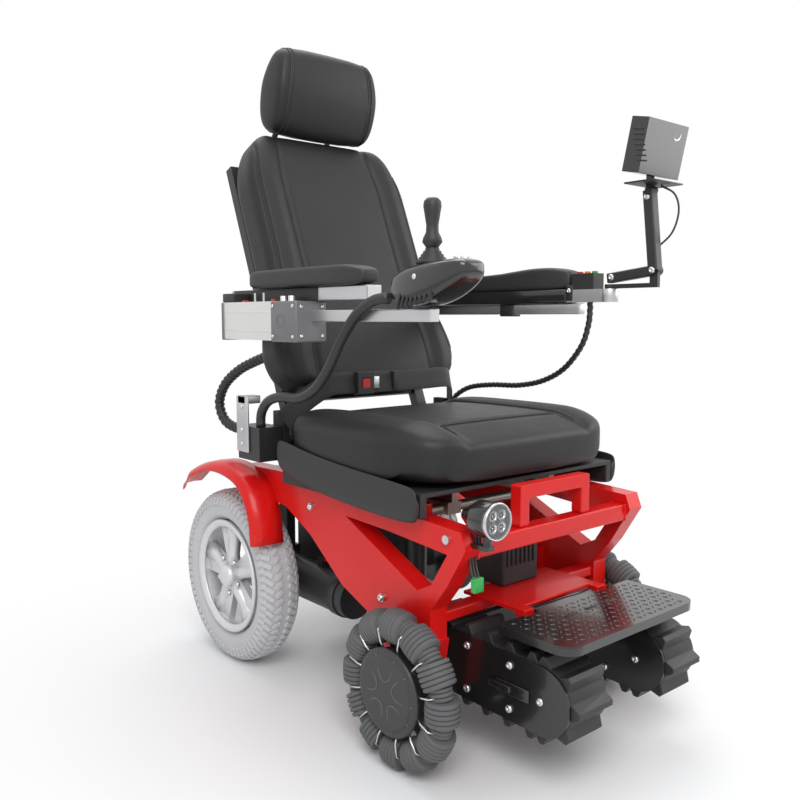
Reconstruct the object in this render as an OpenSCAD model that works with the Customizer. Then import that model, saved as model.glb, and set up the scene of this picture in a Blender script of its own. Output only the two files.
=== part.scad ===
// All terrain wheelchair. +X is the rider's left, -Y is forward, +Z is up, ground at Z = 0.
// Y = 0 is midway between the back of the rear tyres and the front of the tracks.

/* [Wheels] */
// Diameter of the rear tyre
rear_d = 356; // [330:2:380]
// Width of the rear tyre
rear_w = 78; // [66:1:82]
// Diameter of the rim seat under the tyre
rim_d = 226; // [200:2:240]
// Distance from the middle of the chair to the middle of a rear tyre
rear_x = 225; // [222:1:230]
// Diameter of the omni wheel over its rollers
omni_d = 256; // [240:2:262]
// Distance from the middle of the chair to the middle of an omni wheel
omni_x = 262; // [260:1:275]
// Largest diameter of an omni roller
roller_d = 44; // [40:1:45]
// Diameter of the omni hub
omni_hub_d = 132; // [110:2:136]
// Distance between rear and front axles
wheelbase = 555; // [545:5:600]
// Distance from the front axle to the front of the tracks
front_reach = 272; // [262:2:300]
// Diameter of wheel shafts
shaft_d = 20; // [16:1:22]

/* [Chassis] */
// Inner face of a side frame from the middle
frame_x = 190; // [186:1:194]
// Thickness of a side frame
frame_t = 36; // [30:1:40]
// Length of a side frame
frame_len = 640; // [620:5:660]
// Height of a side frame
frame_h = 215; // [205:1:225]
// Underside of a side frame above ground
frame_z = 204; // [200:1:210]
// Square size of cross tubes
tube = 30; // [24:1:34]
// Outside half width of the portal
portal_half = 89; // [80:1:100]
// Height of the portal above its beam
portal_h = 68; // [50:1:80]
// Square size of the portal tube
portal_tube = 22; // [16:1:26]
// Thickness of the deck plate
deck_t = 6; // [4:0.5:8]

/* [Tracks] */
// Middle of a track from the middle of the chair
track_x = 120; // [116:1:122]
// Width of a track belt
track_w = 80; // [70:1:84]
// Distance between the track pulleys
track_len = 315; // [290:5:330]
// Outside radius of a track belt without lugs
track_r = 54; // [50:1:56]
// Thickness of a track belt
belt_t = 8; // [6:0.5:10]
// Height of a track lug
lug_h = 13; // [8:1:15]
// Spacing of track lugs
lug_pitch = 42; // [36:1:50]

/* [Footplate] */
// Half width of the footplate
foot_half = 168; // [140:2:170]
// Depth of the footplate
foot_depth = 137; // [110:1:150]
// Thickness of the footplate
foot_t = 14; // [10:1:15]

/* [Seat] */
// Half width of the seat cushion
seat_half = 250; // [225:1:252]
// Length of the seat cushion
seat_len = 415; // [380:5:420]
// Height of the seat cushion
seat_h = 92; // [70:1:95]
// Height of the seat pan's top above ground
pan_z = 440; // [438:1:450]
// Thickness of the seat pan
pan_t = 8; // [6:1:9]
// Half width of the backrest cushion
back_half = 198; // [180:1:200]
// Height of the backrest cushion
back_len = 560; // [520:5:570]
// Thickness of the backrest cushion
back_t = 88; // [70:1:92]
// Lean of the backrest
back_lean = 22; // [20:1:24]
// Half width of the headrest
head_half = 128; // [110:1:135]
// Height of the headrest
head_h = 180; // [160:2:190]
// Thickness of the headrest
head_t = 96; // [80:1:100]

/* [Arms] */
// Length of an arm pad
pad_len = 350; // [300:5:360]
// Width of an arm pad
pad_w = 56; // [50:1:56]
// Thickness of an arm pad
pad_t = 35; // [28:1:38]
// Length of the switch box
box_len = 254; // [220:2:256]
// Height of the switch box
box_h = 70; // [60:1:72]
// Length of the joystick pod
pod_len = 165; // [150:1:170]
// Width of the joystick pod
pod_w = 70; // [64:1:76]
// Height of the joystick pod
pod_h = 68; // [60:1:72]
// Width of the monitor
monitor_w = 124; // [110:1:126]
// Height of the monitor
monitor_h = 92; // [80:1:100]
// Thickness of the monitor
monitor_t = 34; // [28:1:40]

/* [Hidden] */
$fn = 48;
over = 1;
fit = 0.05;
gap = 0.3;

rear_r = rear_d / 2;
omni_r = omni_d / 2;
shaft_r = shaft_d / 2;
overall = rear_r + wheelbase + front_reach;
rear_y = overall / 2 - rear_r;
front_y = rear_y - wheelbase;
frame_out = frame_x + frame_t;

// side frame outline as shares of its length and height, front to back
frame_shares = [[1, 0.753], [0.758, 0.679], [0.633, 0.502], [0.477, 0.163], [0.336, 0], [0.119, 0],
  [0.119, 0.233],
  [0.0625, 0.447], [0, 0.75], [0.016, 0.874], [0.283, 0.912], [0.57, 1], [1, 0.967]];
window_shares = [[0.461, 0.753], [0.167, 0.353], [0.117, 0.428], [0.061, 0.688], [0.283, 0.735]];
frame_front_back = 110;
frame_front_y = front_y - frame_front_back;
frame_top = frame_z + frame_h;
fork_top = 40;
fork_foot = 22;
fork_drop = 24;

// cross members
beam_ahead = 100;
beam_y = front_y - beam_ahead + tube / 2;
beam_share = 0.656;
beam_z = frame_z + beam_share * frame_h;
low_tube_h = 18;
deck_up = 40;
deck_z = frame_z + deck_up + deck_t;
low_tube_z = deck_z - deck_t - low_tube_h;
rear_tube_ahead = 50;
rear_tube_y = rear_y - rear_tube_ahead;
rear_tube_drop = 16;
rear_tube_z = frame_top - tube - rear_tube_drop;
pivot_back = 35;
pivot_y = front_y + pivot_back;
pivot_z = 392;
pivot_r = 9;
lug_t = 16;
lug_half = 18;
track_front_y = front_y - front_reach + track_r + lug_h;
track_front_z = 150;
track_tilt = -1.5;
track_pivot_y = track_front_y + track_len * cos(track_tilt);
track_pivot_z = track_front_z - track_len * sin(track_tilt);
track_shaft_r = 10;
hanger_t = 20;
hanger_half = 25;

// deck and footplate
deck_half = 105;
deck_front = 102;
deck_len = 117;
hinge_r = 4;
hinge_ahead = 10;
hinge_y = front_y - deck_front - hinge_ahead;
hinge_drop = 12;
hinge_z = deck_z - hinge_drop;
knuckle_r = 9;
knuckle_half = 75;
ear_w = 24;
ear_clear = 17;
foot_back = 11;
foot_corner = 30;

// drive units
motor_x = 140;
motor_r = 40;
motor_len = 245;
gear_half_x = 35;
gear_half_y = 45;
gear_half_z = 50;
motor_ring = 3;
motor_ring_len = 22;
hang_t = 20;
battery_half = 90;
battery_len = 250;
battery_h = 182;
battery_back = 10;
battery_y = rear_y - battery_back - battery_len;
lever_len = 75;
lever_t = 9;
lever_pin_r = 3;
lever_rise = 18;
lever_ahead = 180;
lever_y = rear_y - lever_ahead;
lever_up = 10;
lever_z = rear_r + motor_r + lever_up;
ear_t = 4;
actuator_r = 22;
actuator_rod_r = 10;
actuator_ahead = 40;
actuator_y = battery_y - actuator_ahead;
actuator_base_z = 200;
actuator_h = 130;
actuator_pad_r = 12;
actuator_pad_h = 6;
bar_h = 20;
bar_drop = 8;
bar_z = pivot_z - bar_drop;
bar_x = 110;
bar_w = 30;
bar_len = 370;
rail_h = pan_z - pan_t - bar_z - bar_h - gap;
rail_w = 14;

// control box and lamp
control_half = 45;
control_len = 80;
control_h = 95;
control_back = 20;
lamp_x = 205;
lamp_r = 27;
lamp_len = 62;
lamp_ahead = 150;
lamp_y = front_y - lamp_ahead;
lamp_z = 415;
lens_t = 6;
lamp_post_r = 7;
lamp_seat_share = 0.02;
lamp_foot_z = beam_z + tube;

// seat and back
seat_ahead = 47;
seat_front_y = front_y - seat_ahead;
seat_soft = 0.34;
seat_bolster = 8;
seat_channel = 5;
cushion_z = pan_z + gap;
skirt_t = 14;
skirt_h = 40;
recline_gap = 42;
recline_y = seat_front_y + seat_len + recline_gap;
recline_z = 470;
recline_r = 10;
recline_lug_x = 205;
recline_lug_t = 14;
recline_lug_top = 60;
back_tube_x = 160;
back_tube_w = 25;
back_tube_t = 22;
back_low = 80;
back_top = back_low + back_len;
back_bolster = 4;
back_channel = 4;
back_flare = 0.165;
back_gap = 4;
hinge_up = 268;
hinge_in = 11;
arm_pin_r = 8;
cover_w = 50;
cover_len = 60;
cover_h = 65;
cover_x = 222;
cover_sweep = 40;
cover_top = recline_z + cover_h / 2;
post_x = 70;
post_r = 6;
post_sink = 100;
post_rise = 25;
post_low = back_top - post_sink;
post_high = back_top + post_rise;
post_knuckle = 15;
post_bend = 70;
socket_r = 9;
socket_len = 60;
back_tube_len = post_low + socket_len;
lumbar_z = back_low + back_len / 2 - back_tube_t / 2;
head_rise = 79;
head_ahead = 117;
head_along = back_top + head_rise;
head_y = recline_y + head_along * sin(back_lean) - head_ahead * cos(back_lean);
head_z = recline_z + head_along * cos(back_lean) + head_ahead * sin(back_lean);
head_soft = 0.42;
head_lean = 14;
belt_half = 150;
belt_w = 42;
belt_t2 = 3;
belt_ahead = 86;
belt_y = recline_y - belt_ahead;
belt_z = 583;
buckle_w = 40;
buckle_x = -80;
buckle_t = 14;
button_w = 18;
button_t = 5;

// arms, in the frame of the backrest hinge
arm_hinge_y = recline_y + hinge_in * cos(back_lean) + hinge_up * sin(back_lean);
arm_hinge_z = recline_z - hinge_in * sin(back_lean) + hinge_up * cos(back_lean);
boss_r = 15;
arm_in = 212;
arm_bar_w = 32;
arm_bar_h = 24;
arm_bar_up = 24;
arm_bar_z = arm_hinge_z + arm_bar_up;
pad_soft = 0.4;
box_in = 222;
box_w = 60;
box_back = 18;
box_y = arm_hinge_y - box_back - box_len;
box_z = arm_bar_z - box_h;
pad_in = 206;
pad_back = 70;
rail_t = 20;
rail_x = 232;
pod_ahead = 662;
pod_front = arm_hinge_y - pod_ahead;
pod_y = pod_front + pod_len;
pod_drop = 16;
pod_z = arm_bar_z - pod_drop;
pod_in = 205;
well_r = 22;
well_depth = 22;
stick_x = -(pod_in + pod_w / 2);
stick_share = 0.55;
stick_sink = 10;
stick_y = pod_front + stick_share * pod_len;
stick_z = pod_z + pod_h - stick_sink;
ring_r = 18;
ring_in = 13;
ring_h = 5;
ball_r = 8;
ball_pin_r = 1.5;
ring_pin_r = 2;
stick_r = 4;
stick_h = 92;
bellows_r = 14;
bellows_rib = 4;
knob_r = 9;
switch_out = 11;
switch_x = -(pad_in + pad_w + switch_out);
switch_r = 5;
left_box_len = 50;
left_box_h = 30;
left_bar_len = 540;
left_pad_back = 115;
button_r = 6;
button_h = 8;
button_rise = 4;
link_w = 18;
link_t = 8;
mast_x = arm_in + arm_bar_w / 2;
mast_y = arm_hinge_y - left_bar_len - link_t;
mast_z = arm_bar_z + arm_bar_h;
elbow_ahead = 95;
elbow_up = 30;
elbow_r = 5;
link_len = 140;
screen_back = 15;
screen_y = mast_y - elbow_ahead + screen_back;
screen_z = mast_z + elbow_up + link_len;
monitor_back = 26;
monitor_lean = 12;
screen_t = 2;
cable_r = 9;
loom_r = 11;
lead_r = 6;

// routes of the cables: each leaves its piece square, hangs, and comes down square on the backrest's side cover
function at_back(x, y, z) = [x, recline_y + y * cos(back_lean) + z * sin(back_lean),
  recline_z - y * sin(back_lean) + z * cos(back_lean)];
cable_lead = 16;
cable_x = 262;
cable_z = 738;
cable_end = [-258, 178];
joystick_hang = [[-262, -165, 733], [-262, -125, 712], [-262, -85, 672], [-262, -50, 625], [-262, -10, 588],
  [-262, 40, 568], [-262, 95, 566], [-262, 140, 556], [-260, 168, 536]];
joystick_route = concat([[-cable_x, pod_y + gap, cable_z], [-cable_x, pod_y + cable_lead, cable_z]],
  joystick_hang,
  [[cable_end[0], cable_end[1], cover_top + cable_lead], [cable_end[0], cable_end[1], cover_top + gap]]);
loom_x = 172.5;
loom_up = 190;
loom_low = 40;
loom_hang = [[-180, 330, 618], [-194, 375, 598], [-204, 418, 566], [-206, 440, 525], [-204, 418, 487],
  [-194, 365, 473], [-174, 310, 473], [-172.5, 268, 482]];
loom_route = concat([at_back(-loom_x, back_tube_t + gap, loom_up), at_back(-loom_x,
  back_tube_t + cable_lead, loom_up)],
  loom_hang, [at_back(-loom_x, back_tube_t + cable_lead, loom_low), at_back(-loom_x, back_tube_t + gap,
    loom_low)]);
lead_start = -215;
lead_end = [248, 178];
left_hang = [[229, -211, 695], [230, -195, 655], [236, -150, 610], [244, -90, 582], [250, -20, 568],
  [252, 60, 564],
  [252, 125, 555], [250, 165, 536]];
left_route = concat([[mast_x, lead_start, arm_bar_z - gap], [mast_x, lead_start,
  arm_bar_z - cable_lead]], left_hang,
  [[lead_end[0], lead_end[1], cover_top + cable_lead], [lead_end[0], lead_end[1], cover_top + gap]]);

function unit(v) = v / norm(v);
function heading(p, i) = unit(p[min(i + 1, len(p) - 1)] - p[max(i - 1, 0)]);
function side_of(d) = unit(cross(d, abs(d[0]) > 0.9 ? [0, 0, 1] : [1, 0, 0]));

// a round tube swept along a list of points
module sweep(p, r, n = 10) {
  rings = [for (i = [0 : len(p) - 1])
    let (d = heading(p, i), a = side_of(d), b = cross(d, a))
    for (k = [0 : n - 1]) p[i] + r * (cos(360 * k / n) * a + sin(360 * k / n) * b)];
  m = len(p);
  sides = [for (i = [0 : m - 2]) for (k = [0 : n - 1])
    let (a = i * n + k, b = i * n + (k + 1) % n)
    each [[a, b, b + n], [a, b + n, a + n]]];
  low = [for (k = [1 : n - 2]) [0, k + 1, k]];
  high = [for (k = [1 : n - 2]) [(m - 1) * n, (m - 1) * n + k, (m - 1) * n + k + 1]];
  polyhedron(rings, concat([for (f = sides) [f[0], f[2], f[1]]], [for (f = low) [f[0], f[2], f[1]]],
    [for (f = high) [f[0], f[2], f[1]]]));
}

function power(v, e) = sign(v) * pow(abs(v), e);

function eased(t) = let (c = min(1, max(0, t))) c * c * (3 - 2 * c);

// a crowned closed cushion: half sizes, corner softness, bolster rise at the sides, channel depth and lower flare
module cushion(h, soft, bolster, channel, lon = 36, lat = 14, flare = 0) {
  ring = [for (i = [1 : lat - 1]) for (k = [0 : lon - 1])
    let (e = -90 + 180 * i / lat, w = 360 * k / lon,
      x = power(cos(e), soft) * power(cos(w), soft),
      y = power(cos(e), soft) * power(sin(w), soft),
      z = power(sin(e), soft),
      rise = z > 0 ? bolster * pow(abs(x), 3) - channel * exp(-pow((abs(x) - 0.62) / 0.09, 2)) : 0)
    [h[0] * x * (1 + flare * eased((-y - 0.22) / 0.58)), h[1] * y, h[2] * z + rise]];
  points = concat(ring, [[0, 0, -h[2]], [0, 0, h[2]]]);
  n = len(ring);
  faces = concat([for (i = [0 : lat - 3]) for (k = [0 : lon - 1])
      let (a = i * lon + k, b = i * lon + (k + 1) % lon)
      each [[a, b + lon, b], [a, a + lon, b + lon]]],
    [for (k = [0 : lon - 1]) [n, k, (k + 1) % lon]],
    [for (k = [0 : lon - 1]) [n + 1, n - lon + (k + 1) % lon, n - lon + k]]);
  polyhedron(points, faces);
}

module box(low, high) translate(low) cube(high - low);

module rod(x0, x1, y, z, r) translate([x0, y, z]) rotate([0, 90, 0]) cylinder(h = x1 - x0, r = r);

module along_x(x0, x1) translate([x0, 0, 0]) rotate([90, 0, 90]) linear_extrude(x1 - x0) children();

module both_sides() {
  children();
  mirror([1, 0, 0]) children();
}

module leaned() translate([0, recline_y, recline_z]) rotate([-back_lean, 0, 0]) children();

module at_frame(shares) polygon([for (s = shares) [frame_front_y + frame_len * s[0],
  frame_z + frame_h * s[1]]]);

module side_frames() color("#d81f1c") both_sides() {
  along_x(frame_x, frame_out) difference() {
    at_frame(frame_shares);
    at_frame(window_shares);
  }
  along_x(frame_x, frame_out) polygon([[front_y - fork_top, frame_z], [front_y + fork_top, frame_z],
    [front_y + fork_foot, omni_r - fork_drop], [front_y - fork_foot, omni_r - fork_drop]]);
  rod(frame_out, omni_x + roller_d / 4, front_y, omni_r, shaft_r);
}

module cross_tubes() color("#c91b19") {
  box([-frame_x, beam_y - tube / 2, beam_z], [frame_x, beam_y + tube / 2, beam_z + tube]);
  box([-frame_x, front_y - tube, low_tube_z], [frame_x, front_y, low_tube_z + low_tube_h]);
  box([-frame_x, rear_tube_y - tube / 2, rear_tube_z], [frame_x, rear_tube_y + tube / 2, rear_tube_z + tube]);
  both_sides() {
    difference() {
      box([frame_x - lug_t, pivot_y - lug_half, pivot_z - lug_half],
        [frame_x, pivot_y + lug_half, pivot_z + lug_half]);
      rod(frame_x - lug_t - over, frame_x + over, pivot_y, pivot_z, pivot_r + fit);
    }
    difference() {
      box([frame_x - hanger_t, track_pivot_y - hanger_half, track_pivot_z - hanger_half],
        [frame_x, track_pivot_y + hanger_half, frame_z + frame_h / 4]);
      rod(frame_x - hanger_t - over, frame_x + over, track_pivot_y, track_pivot_z, track_shaft_r + fit);
    }
  }
}

module portal_frame() color("#d81f1c") {
  top = beam_z + tube;
  both_sides() box([portal_half - portal_tube, beam_y - portal_tube / 2, top],
    [portal_half, beam_y + portal_tube / 2, top + portal_h]);
  box([-portal_half + portal_tube, beam_y - portal_tube / 2, top + portal_h - portal_tube],
    [portal_half - portal_tube, beam_y + portal_tube / 2, top + portal_h]);
}

module deck_plate() color("#d81f1c") {
  front = front_y - deck_front;
  box([-deck_half, front, deck_z - deck_t], [deck_half, front + deck_len, deck_z]);
  both_sides() box([deck_half - ear_w, hinge_y - knuckle_r, hinge_z - knuckle_r], [deck_half, front, deck_z]);
  rod(-deck_half + ear_w, deck_half - ear_w, hinge_y, hinge_z, hinge_r);
}

// fender path as shares of the tyre radius, from the axle
fender_shares = [[-0.92, 0.55], [-0.87, 0.88], [-0.7, 1.16], [-0.42, 1.31], [0.06, 1.35], [0.56, 1.22],
  [0.98, 0.97]];
fender_t = 4;
fender_w = 46;

module fenders() color("#d81f1c") both_sides() {
  outer = [for (s = fender_shares) [rear_y, rear_r] + rear_r * s];
  inner = [for (p = outer) p - fender_t * unit(p - [rear_y, rear_r])];
  count = len(outer);
  along_x(frame_out, frame_out + fender_w) polygon(concat(outer, [for (i = [1 : count]) inner[count - i]]));
}

module drive_motors() color("#1d1d1f") both_sides() {
  difference() {
    union() {
      box([motor_x - gear_half_x, rear_y - gear_half_y, rear_r - gear_half_z],
        [motor_x + gear_half_x, rear_y + gear_half_y, rear_r + gear_half_z]);
      translate([motor_x, rear_y, rear_r]) rotate([90, 0, 0]) cylinder(h = gear_half_y + motor_len,
        r = motor_r);
      translate([motor_x, rear_y - gear_half_y - motor_len + 2 * motor_ring_len, rear_r]) rotate([90, 0, 0])
        cylinder(h = motor_ring_len, r = motor_r + motor_ring);
      box([motor_x - hang_t / 2, rear_tube_y - tube / 2, rear_r], [motor_x + hang_t / 2, rear_tube_y + tube / 2,
        rear_tube_z]);
      for (s = [-1, 1]) box([motor_x + s * (lever_t / 2 + gap + ear_t / 2) - ear_t / 2,
        lever_y - ear_t * 2, rear_r],
        [motor_x + s * (lever_t / 2 + gap + ear_t / 2) + ear_t / 2, lever_y + ear_t * 2, lever_z + ear_t * 2]);
      rod(motor_x - lever_t / 2 - gap - ear_t, motor_x + lever_t / 2 + gap + ear_t, lever_y, lever_z,
        lever_pin_r);
    }
    rod(motor_x - motor_r - over, motor_x + motor_r + over, rear_y, rear_r, shaft_r + fit);
  }
}

module lever(side) color("#d02020") {
  x = side * motor_x;
  difference() {
    union() {
      rod(x - lever_t / 2, x + lever_t / 2, lever_y, lever_z, 2 * lever_pin_r);
      translate([x - lever_t / 3, lever_y, lever_z]) rotate([-lever_rise, 0, 0]) translate([0,
        -lever_len, -lever_pin_r / 2])
        cube([2 * lever_t / 3, lever_len, lever_pin_r]);
    }
    rod(x - lever_t, x + lever_t, lever_y, lever_z, lever_pin_r + fit);
  }
}

module brake_lever_right() lever(-1);
module brake_lever_left() lever(1);

module battery_box() color("#1a1a1c")
  box([-battery_half, battery_y, rear_tube_z - battery_h], [battery_half, battery_y + battery_len,
    rear_tube_z]);

module control_box() color("#151517")
  box([-control_half, front_y - control_back, deck_z], [control_half, front_y - control_back + control_len,
    deck_z + control_h]);

module headlamp_housing() color("#121214") {
  translate([-lamp_x, lamp_y, lamp_z]) rotate([-90, 0, 0]) {
    cylinder(h = lamp_len / 2, r = lamp_r);
    translate([0, 0, lamp_len / 2]) cylinder(h = lamp_len / 2, r1 = lamp_r, r2 = lamp_r / 3);
  }
  translate([-lamp_x, lamp_y + lamp_len / 4, lamp_foot_z]) cylinder(h = lamp_z - lamp_foot_z, r = lamp_post_r);
  difference() {
    box([-lamp_x - lamp_post_r, lamp_y + lamp_len / 4 - lamp_post_r, lamp_foot_z - lamp_post_r],
      [-lamp_x + lamp_post_r, frame_front_y + frame_len * lamp_seat_share, lamp_foot_z]);
    side_frames();
  }
}

module headlamp_lens() color("#e8eef2") translate([-lamp_x, lamp_y - lens_t, lamp_z]) rotate([-90, 0, 0])
  cylinder(h = lens_t, r = lamp_r - over);

bolt_r = 7;
bolt_h = 5;
bolt_shares = [[0.2, 0.1], [0.3, 0.2], [0.62, 0.75], [0.9, 0.86], [0.06, 0.8]];

module chassis_bolts() color("#c8c8cc") both_sides() for (s = bolt_shares)
  rod(frame_out, frame_out + bolt_h, frame_front_y + frame_len * s[0], frame_z + frame_h * s[1], bolt_r);

module actuator_body() color("#1b1b1d") difference() {
  union() {
    translate([0, actuator_y, actuator_base_z]) cylinder(h = actuator_h, r = actuator_r);
    box([-actuator_r / 2, actuator_y, actuator_base_z], [actuator_r / 2, battery_y,
      actuator_base_z + actuator_r]);
  }
  translate([0, actuator_y, actuator_base_z + actuator_r]) cylinder(h = actuator_h, r = actuator_rod_r + fit);
}

module actuator_rod() color("#c4c4c8") {
  base = actuator_base_z + actuator_r + gap;
  translate([0, actuator_y, base]) cylinder(h = bar_z - gap - actuator_pad_h - base, r = actuator_rod_r);
  translate([0, actuator_y, bar_z - gap - actuator_pad_h]) cylinder(h = actuator_pad_h, r = actuator_pad_r);
}

module tyre(side) color("#a9abad") translate([side * rear_x, rear_y, rear_r]) rotate([0, 90, 0])
  rotate_extrude($fn = 96)
  difference() {
    translate([rear_r - rear_w / 2, 0]) circle(rear_w / 2);
    translate([0, -rear_w]) square([rim_d / 2, 2 * rear_w]);
  }

module rear_tyre_right() tyre(-1);
module rear_tyre_left() tyre(1);

rim_t = 10;
rim_half = 32;
wheel_hub_r = 30;
spoke_w = 26;
spoke_t = 14;

module rim(side) color("#c3c5c8") translate([side * rear_x, rear_y, rear_r]) rotate([0, side * 90, 0]) {
  rotate_extrude($fn = 96) translate([rim_d / 2 - rim_t, -rim_half]) square([rim_t, 2 * rim_half]);
  translate([0, 0, -rim_half]) cylinder(h = 2 * rim_half - spoke_t / 2, r = wheel_hub_r);
  for (k = [0 : 4]) rotate([0, 0, 90 + 72 * k]) translate([wheel_hub_r / 2, -spoke_w / 2,
    rim_half - 2 * spoke_t])
    cube([rim_d / 2 - rim_t - wheel_hub_r / 2 + over, spoke_w, spoke_t]);
  translate([0, 0, motor_x - gear_half_x - rear_x]) cylinder(h = rear_x - motor_x + gear_half_x, r = shaft_r);
}

module rear_rim_right() rim(-1);
module rear_rim_left() rim(1);

arm_count = 12;
roller_r = roller_d / 2;
ring_radius = omni_r - roller_r;
ring_wire = 3;
roller_half = 16;
small_half = 3.5;
small_r = 13;
arm_t = 2;
arm_turn = 11.8;
arm_half = 5;
cap_h = 9;
hub_half = 20;

module omni_hub(side) color("#4b4d50") translate([side * omni_x, front_y, omni_r]) rotate([0, side * 90, 0]) {
  difference() {
    union() {
      translate([0, 0, -hub_half]) cylinder(h = 2 * hub_half, r = omni_hub_d / 2, $fn = 96);
      translate([0, 0, hub_half]) cylinder(h = cap_h, r1 = omni_hub_d / 2, r2 = omni_hub_d / 2 - cap_h,
        $fn = 96);
    }
    translate([0, 0, -hub_half - over]) cylinder(h = hub_half + over + roller_d / 4 + gap, r = shaft_r + fit);
  }
  rotate_extrude($fn = 96) translate([ring_radius, 0]) circle(ring_wire);
  for (k = [0 : arm_count - 1]) rotate([0, 0, 360 * k / arm_count + arm_turn])
    translate([omni_hub_d / 2 - arm_half, -arm_t / 2, -arm_half])
      cube([ring_radius - omni_hub_d / 2 + arm_half, arm_t, 2 * arm_half]);
}

module omni_hub_right() omni_hub(-1);
module omni_hub_left() omni_hub(1);

module roller(r, half) rotate([90, 0, 0]) difference() {
  rotate_extrude() polygon([[0, -half], [r - over, -half], [r, -half / 2], [r, half / 2], [r - over,
    half], [0, half]]);
  cylinder(h = 4 * half, r = ring_wire + half * half / (2 * ring_radius) + fit, center = true);
}

module omni_rollers(side) color("#3a3b3d") translate([side * omni_x, front_y, omni_r]) rotate([0, side * 90, 0])
  for (k = [0 : arm_count - 1]) {
    rotate([0, 0, 360 * k / arm_count]) translate([ring_radius, 0, 0]) roller(roller_r, roller_half);
    rotate([0, 0, 360 * (k + 0.5) / arm_count]) translate([ring_radius, 0, 0]) roller(small_r, small_half);
  }

module omni_rollers_right() omni_rollers(-1);
module omni_rollers_left() omni_rollers(1);

plate_t = 4;

module stadium(r) translate([track_front_y, track_front_z]) rotate(-track_tilt) {
  circle(r, $fn = 96);
  translate([track_len, 0]) circle(r, $fn = 96);
  translate([0, -r]) square([track_len, 2 * r]);
}

module lug_shape() polygon([[-lug_pitch / 3, -belt_t / 2], [lug_pitch / 3, -belt_t / 2], [lug_pitch / 10,
  lug_h],
  [-lug_pitch / 10, lug_h]]);

module track_belts() color("#141415") both_sides() along_x(track_x - track_w / 2, track_x + track_w / 2) {
  runs = floor(track_len / lug_pitch);
  turns = floor(PI * track_r / lug_pitch);
  difference() {
    stadium(track_r);
    stadium(track_r - belt_t);
  }
  translate([track_front_y, track_front_z]) rotate(-track_tilt) {
    for (i = [0 : runs - 1]) for (s = [-1, 1]) translate([track_len * (i + 0.5) / runs, s * track_r])
      rotate(s > 0 ? 0 : 180) lug_shape();
    for (i = [0 : turns]) {
      rotate(90 + 180 * i / turns) translate([track_r, 0]) rotate(-90) lug_shape();
      translate([track_len, 0]) rotate(-90 + 180 * i / turns) translate([track_r, 0]) rotate(-90) lug_shape();
    }
  }
}

module track_plates() color("#17171a") both_sides() for (s = [-1, 1]) {
  x = track_x + s * (track_w / 2 + plate_t / 2 + gap);
  difference() {
    along_x(x - plate_t / 2, x + plate_t / 2) stadium(track_r - over);
    rod(x - plate_t, x + plate_t, track_pivot_y, track_pivot_z, track_shaft_r);
  }
}

module track_wheels() color("#2a2a2d") {
  rod(-frame_x + gap, frame_x - gap, track_pivot_y, track_pivot_z, track_shaft_r);
  both_sides() {
    wheel_r = track_r - belt_t - gap;
    for (p = [[track_front_y, track_front_z], [track_pivot_y, track_pivot_z]])
      rod(track_x - track_w / 2 - gap, track_x + track_w / 2 + gap, p[0], p[1], wheel_r);
  }
}

module footplate() color("#0f0f10") difference() {
  union() {
    rod(-knuckle_half, knuckle_half, hinge_y, hinge_z, knuckle_r);
    box([-knuckle_half, hinge_y - foot_back - foot_t, hinge_z - foot_t / 2], [knuckle_half, hinge_y,
      hinge_z + foot_t / 2]);
    translate([0, 0, hinge_z - foot_t / 2]) linear_extrude(foot_t) {
      back = hinge_y - foot_back;
      polygon([[-foot_half, back], [foot_half, back], [foot_half, back - foot_depth + foot_corner],
        [foot_half - foot_corner, back - foot_depth], [-foot_half + foot_corner, back - foot_depth],
        [-foot_half, back - foot_depth + foot_corner]]);
      for (s = [-1, 1]) translate([s * (foot_half - foot_corner), back - foot_depth + foot_corner])
        circle(foot_corner);
    }
  }
  rod(-knuckle_half - over, knuckle_half + over, hinge_y, hinge_z, hinge_r + fit);
  both_sides() box([deck_half - ear_w - over, hinge_y - ear_clear, hinge_z - foot_t], [deck_half + over,
    hinge_y,
    hinge_z + foot_t]);
}

module tilt_frame() color("#8d8a84") {
  front = pivot_y - lug_half;
  rod(-frame_x + gap, frame_x - gap, pivot_y, pivot_z, pivot_r);
  both_sides() {
    box([bar_x, front, bar_z], [bar_x + bar_w, front + bar_len, bar_z + bar_h]);
    box([bar_x + rail_w / 2, front, bar_z + bar_h], [bar_x + 3 * rail_w / 2, front + bar_len,
      bar_z + bar_h + rail_h]);
  }
  box([-bar_x, actuator_y - tube / 2, bar_z], [bar_x, actuator_y + tube / 2, bar_z + bar_h]);
}

module seat_pan() color("#202022") {
  low = pan_z - pan_t;
  back = recline_y + lug_half;
  both_sides() {
    box([0, seat_front_y + lug_half, low], [seat_half - skirt_t / 2, recline_y - cover_sweep, pan_z]);
    box([0, seat_front_y + seat_len / 2, low], [recline_lug_x + recline_lug_t, back, pan_z]);
    box([seat_half - 3 * skirt_t / 2, seat_front_y + lug_half, pan_z - skirt_h],
      [seat_half - skirt_t / 2, rear_y - rear_r - lug_half, low]);
    difference() {
      box([recline_lug_x, recline_y - lug_half, low], [recline_lug_x + recline_lug_t, back,
        recline_z + recline_lug_top]);
      rod(recline_lug_x - over, recline_lug_x + recline_lug_t + over, recline_y, recline_z, recline_r + fit);
    }
  }
}

module seat_cushion() color("#1c1c1e") translate([0, seat_front_y + seat_len / 2, cushion_z + seat_h / 2])
  cushion([seat_half, seat_len / 2, seat_h / 2], seat_soft, seat_bolster, seat_channel);

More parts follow.
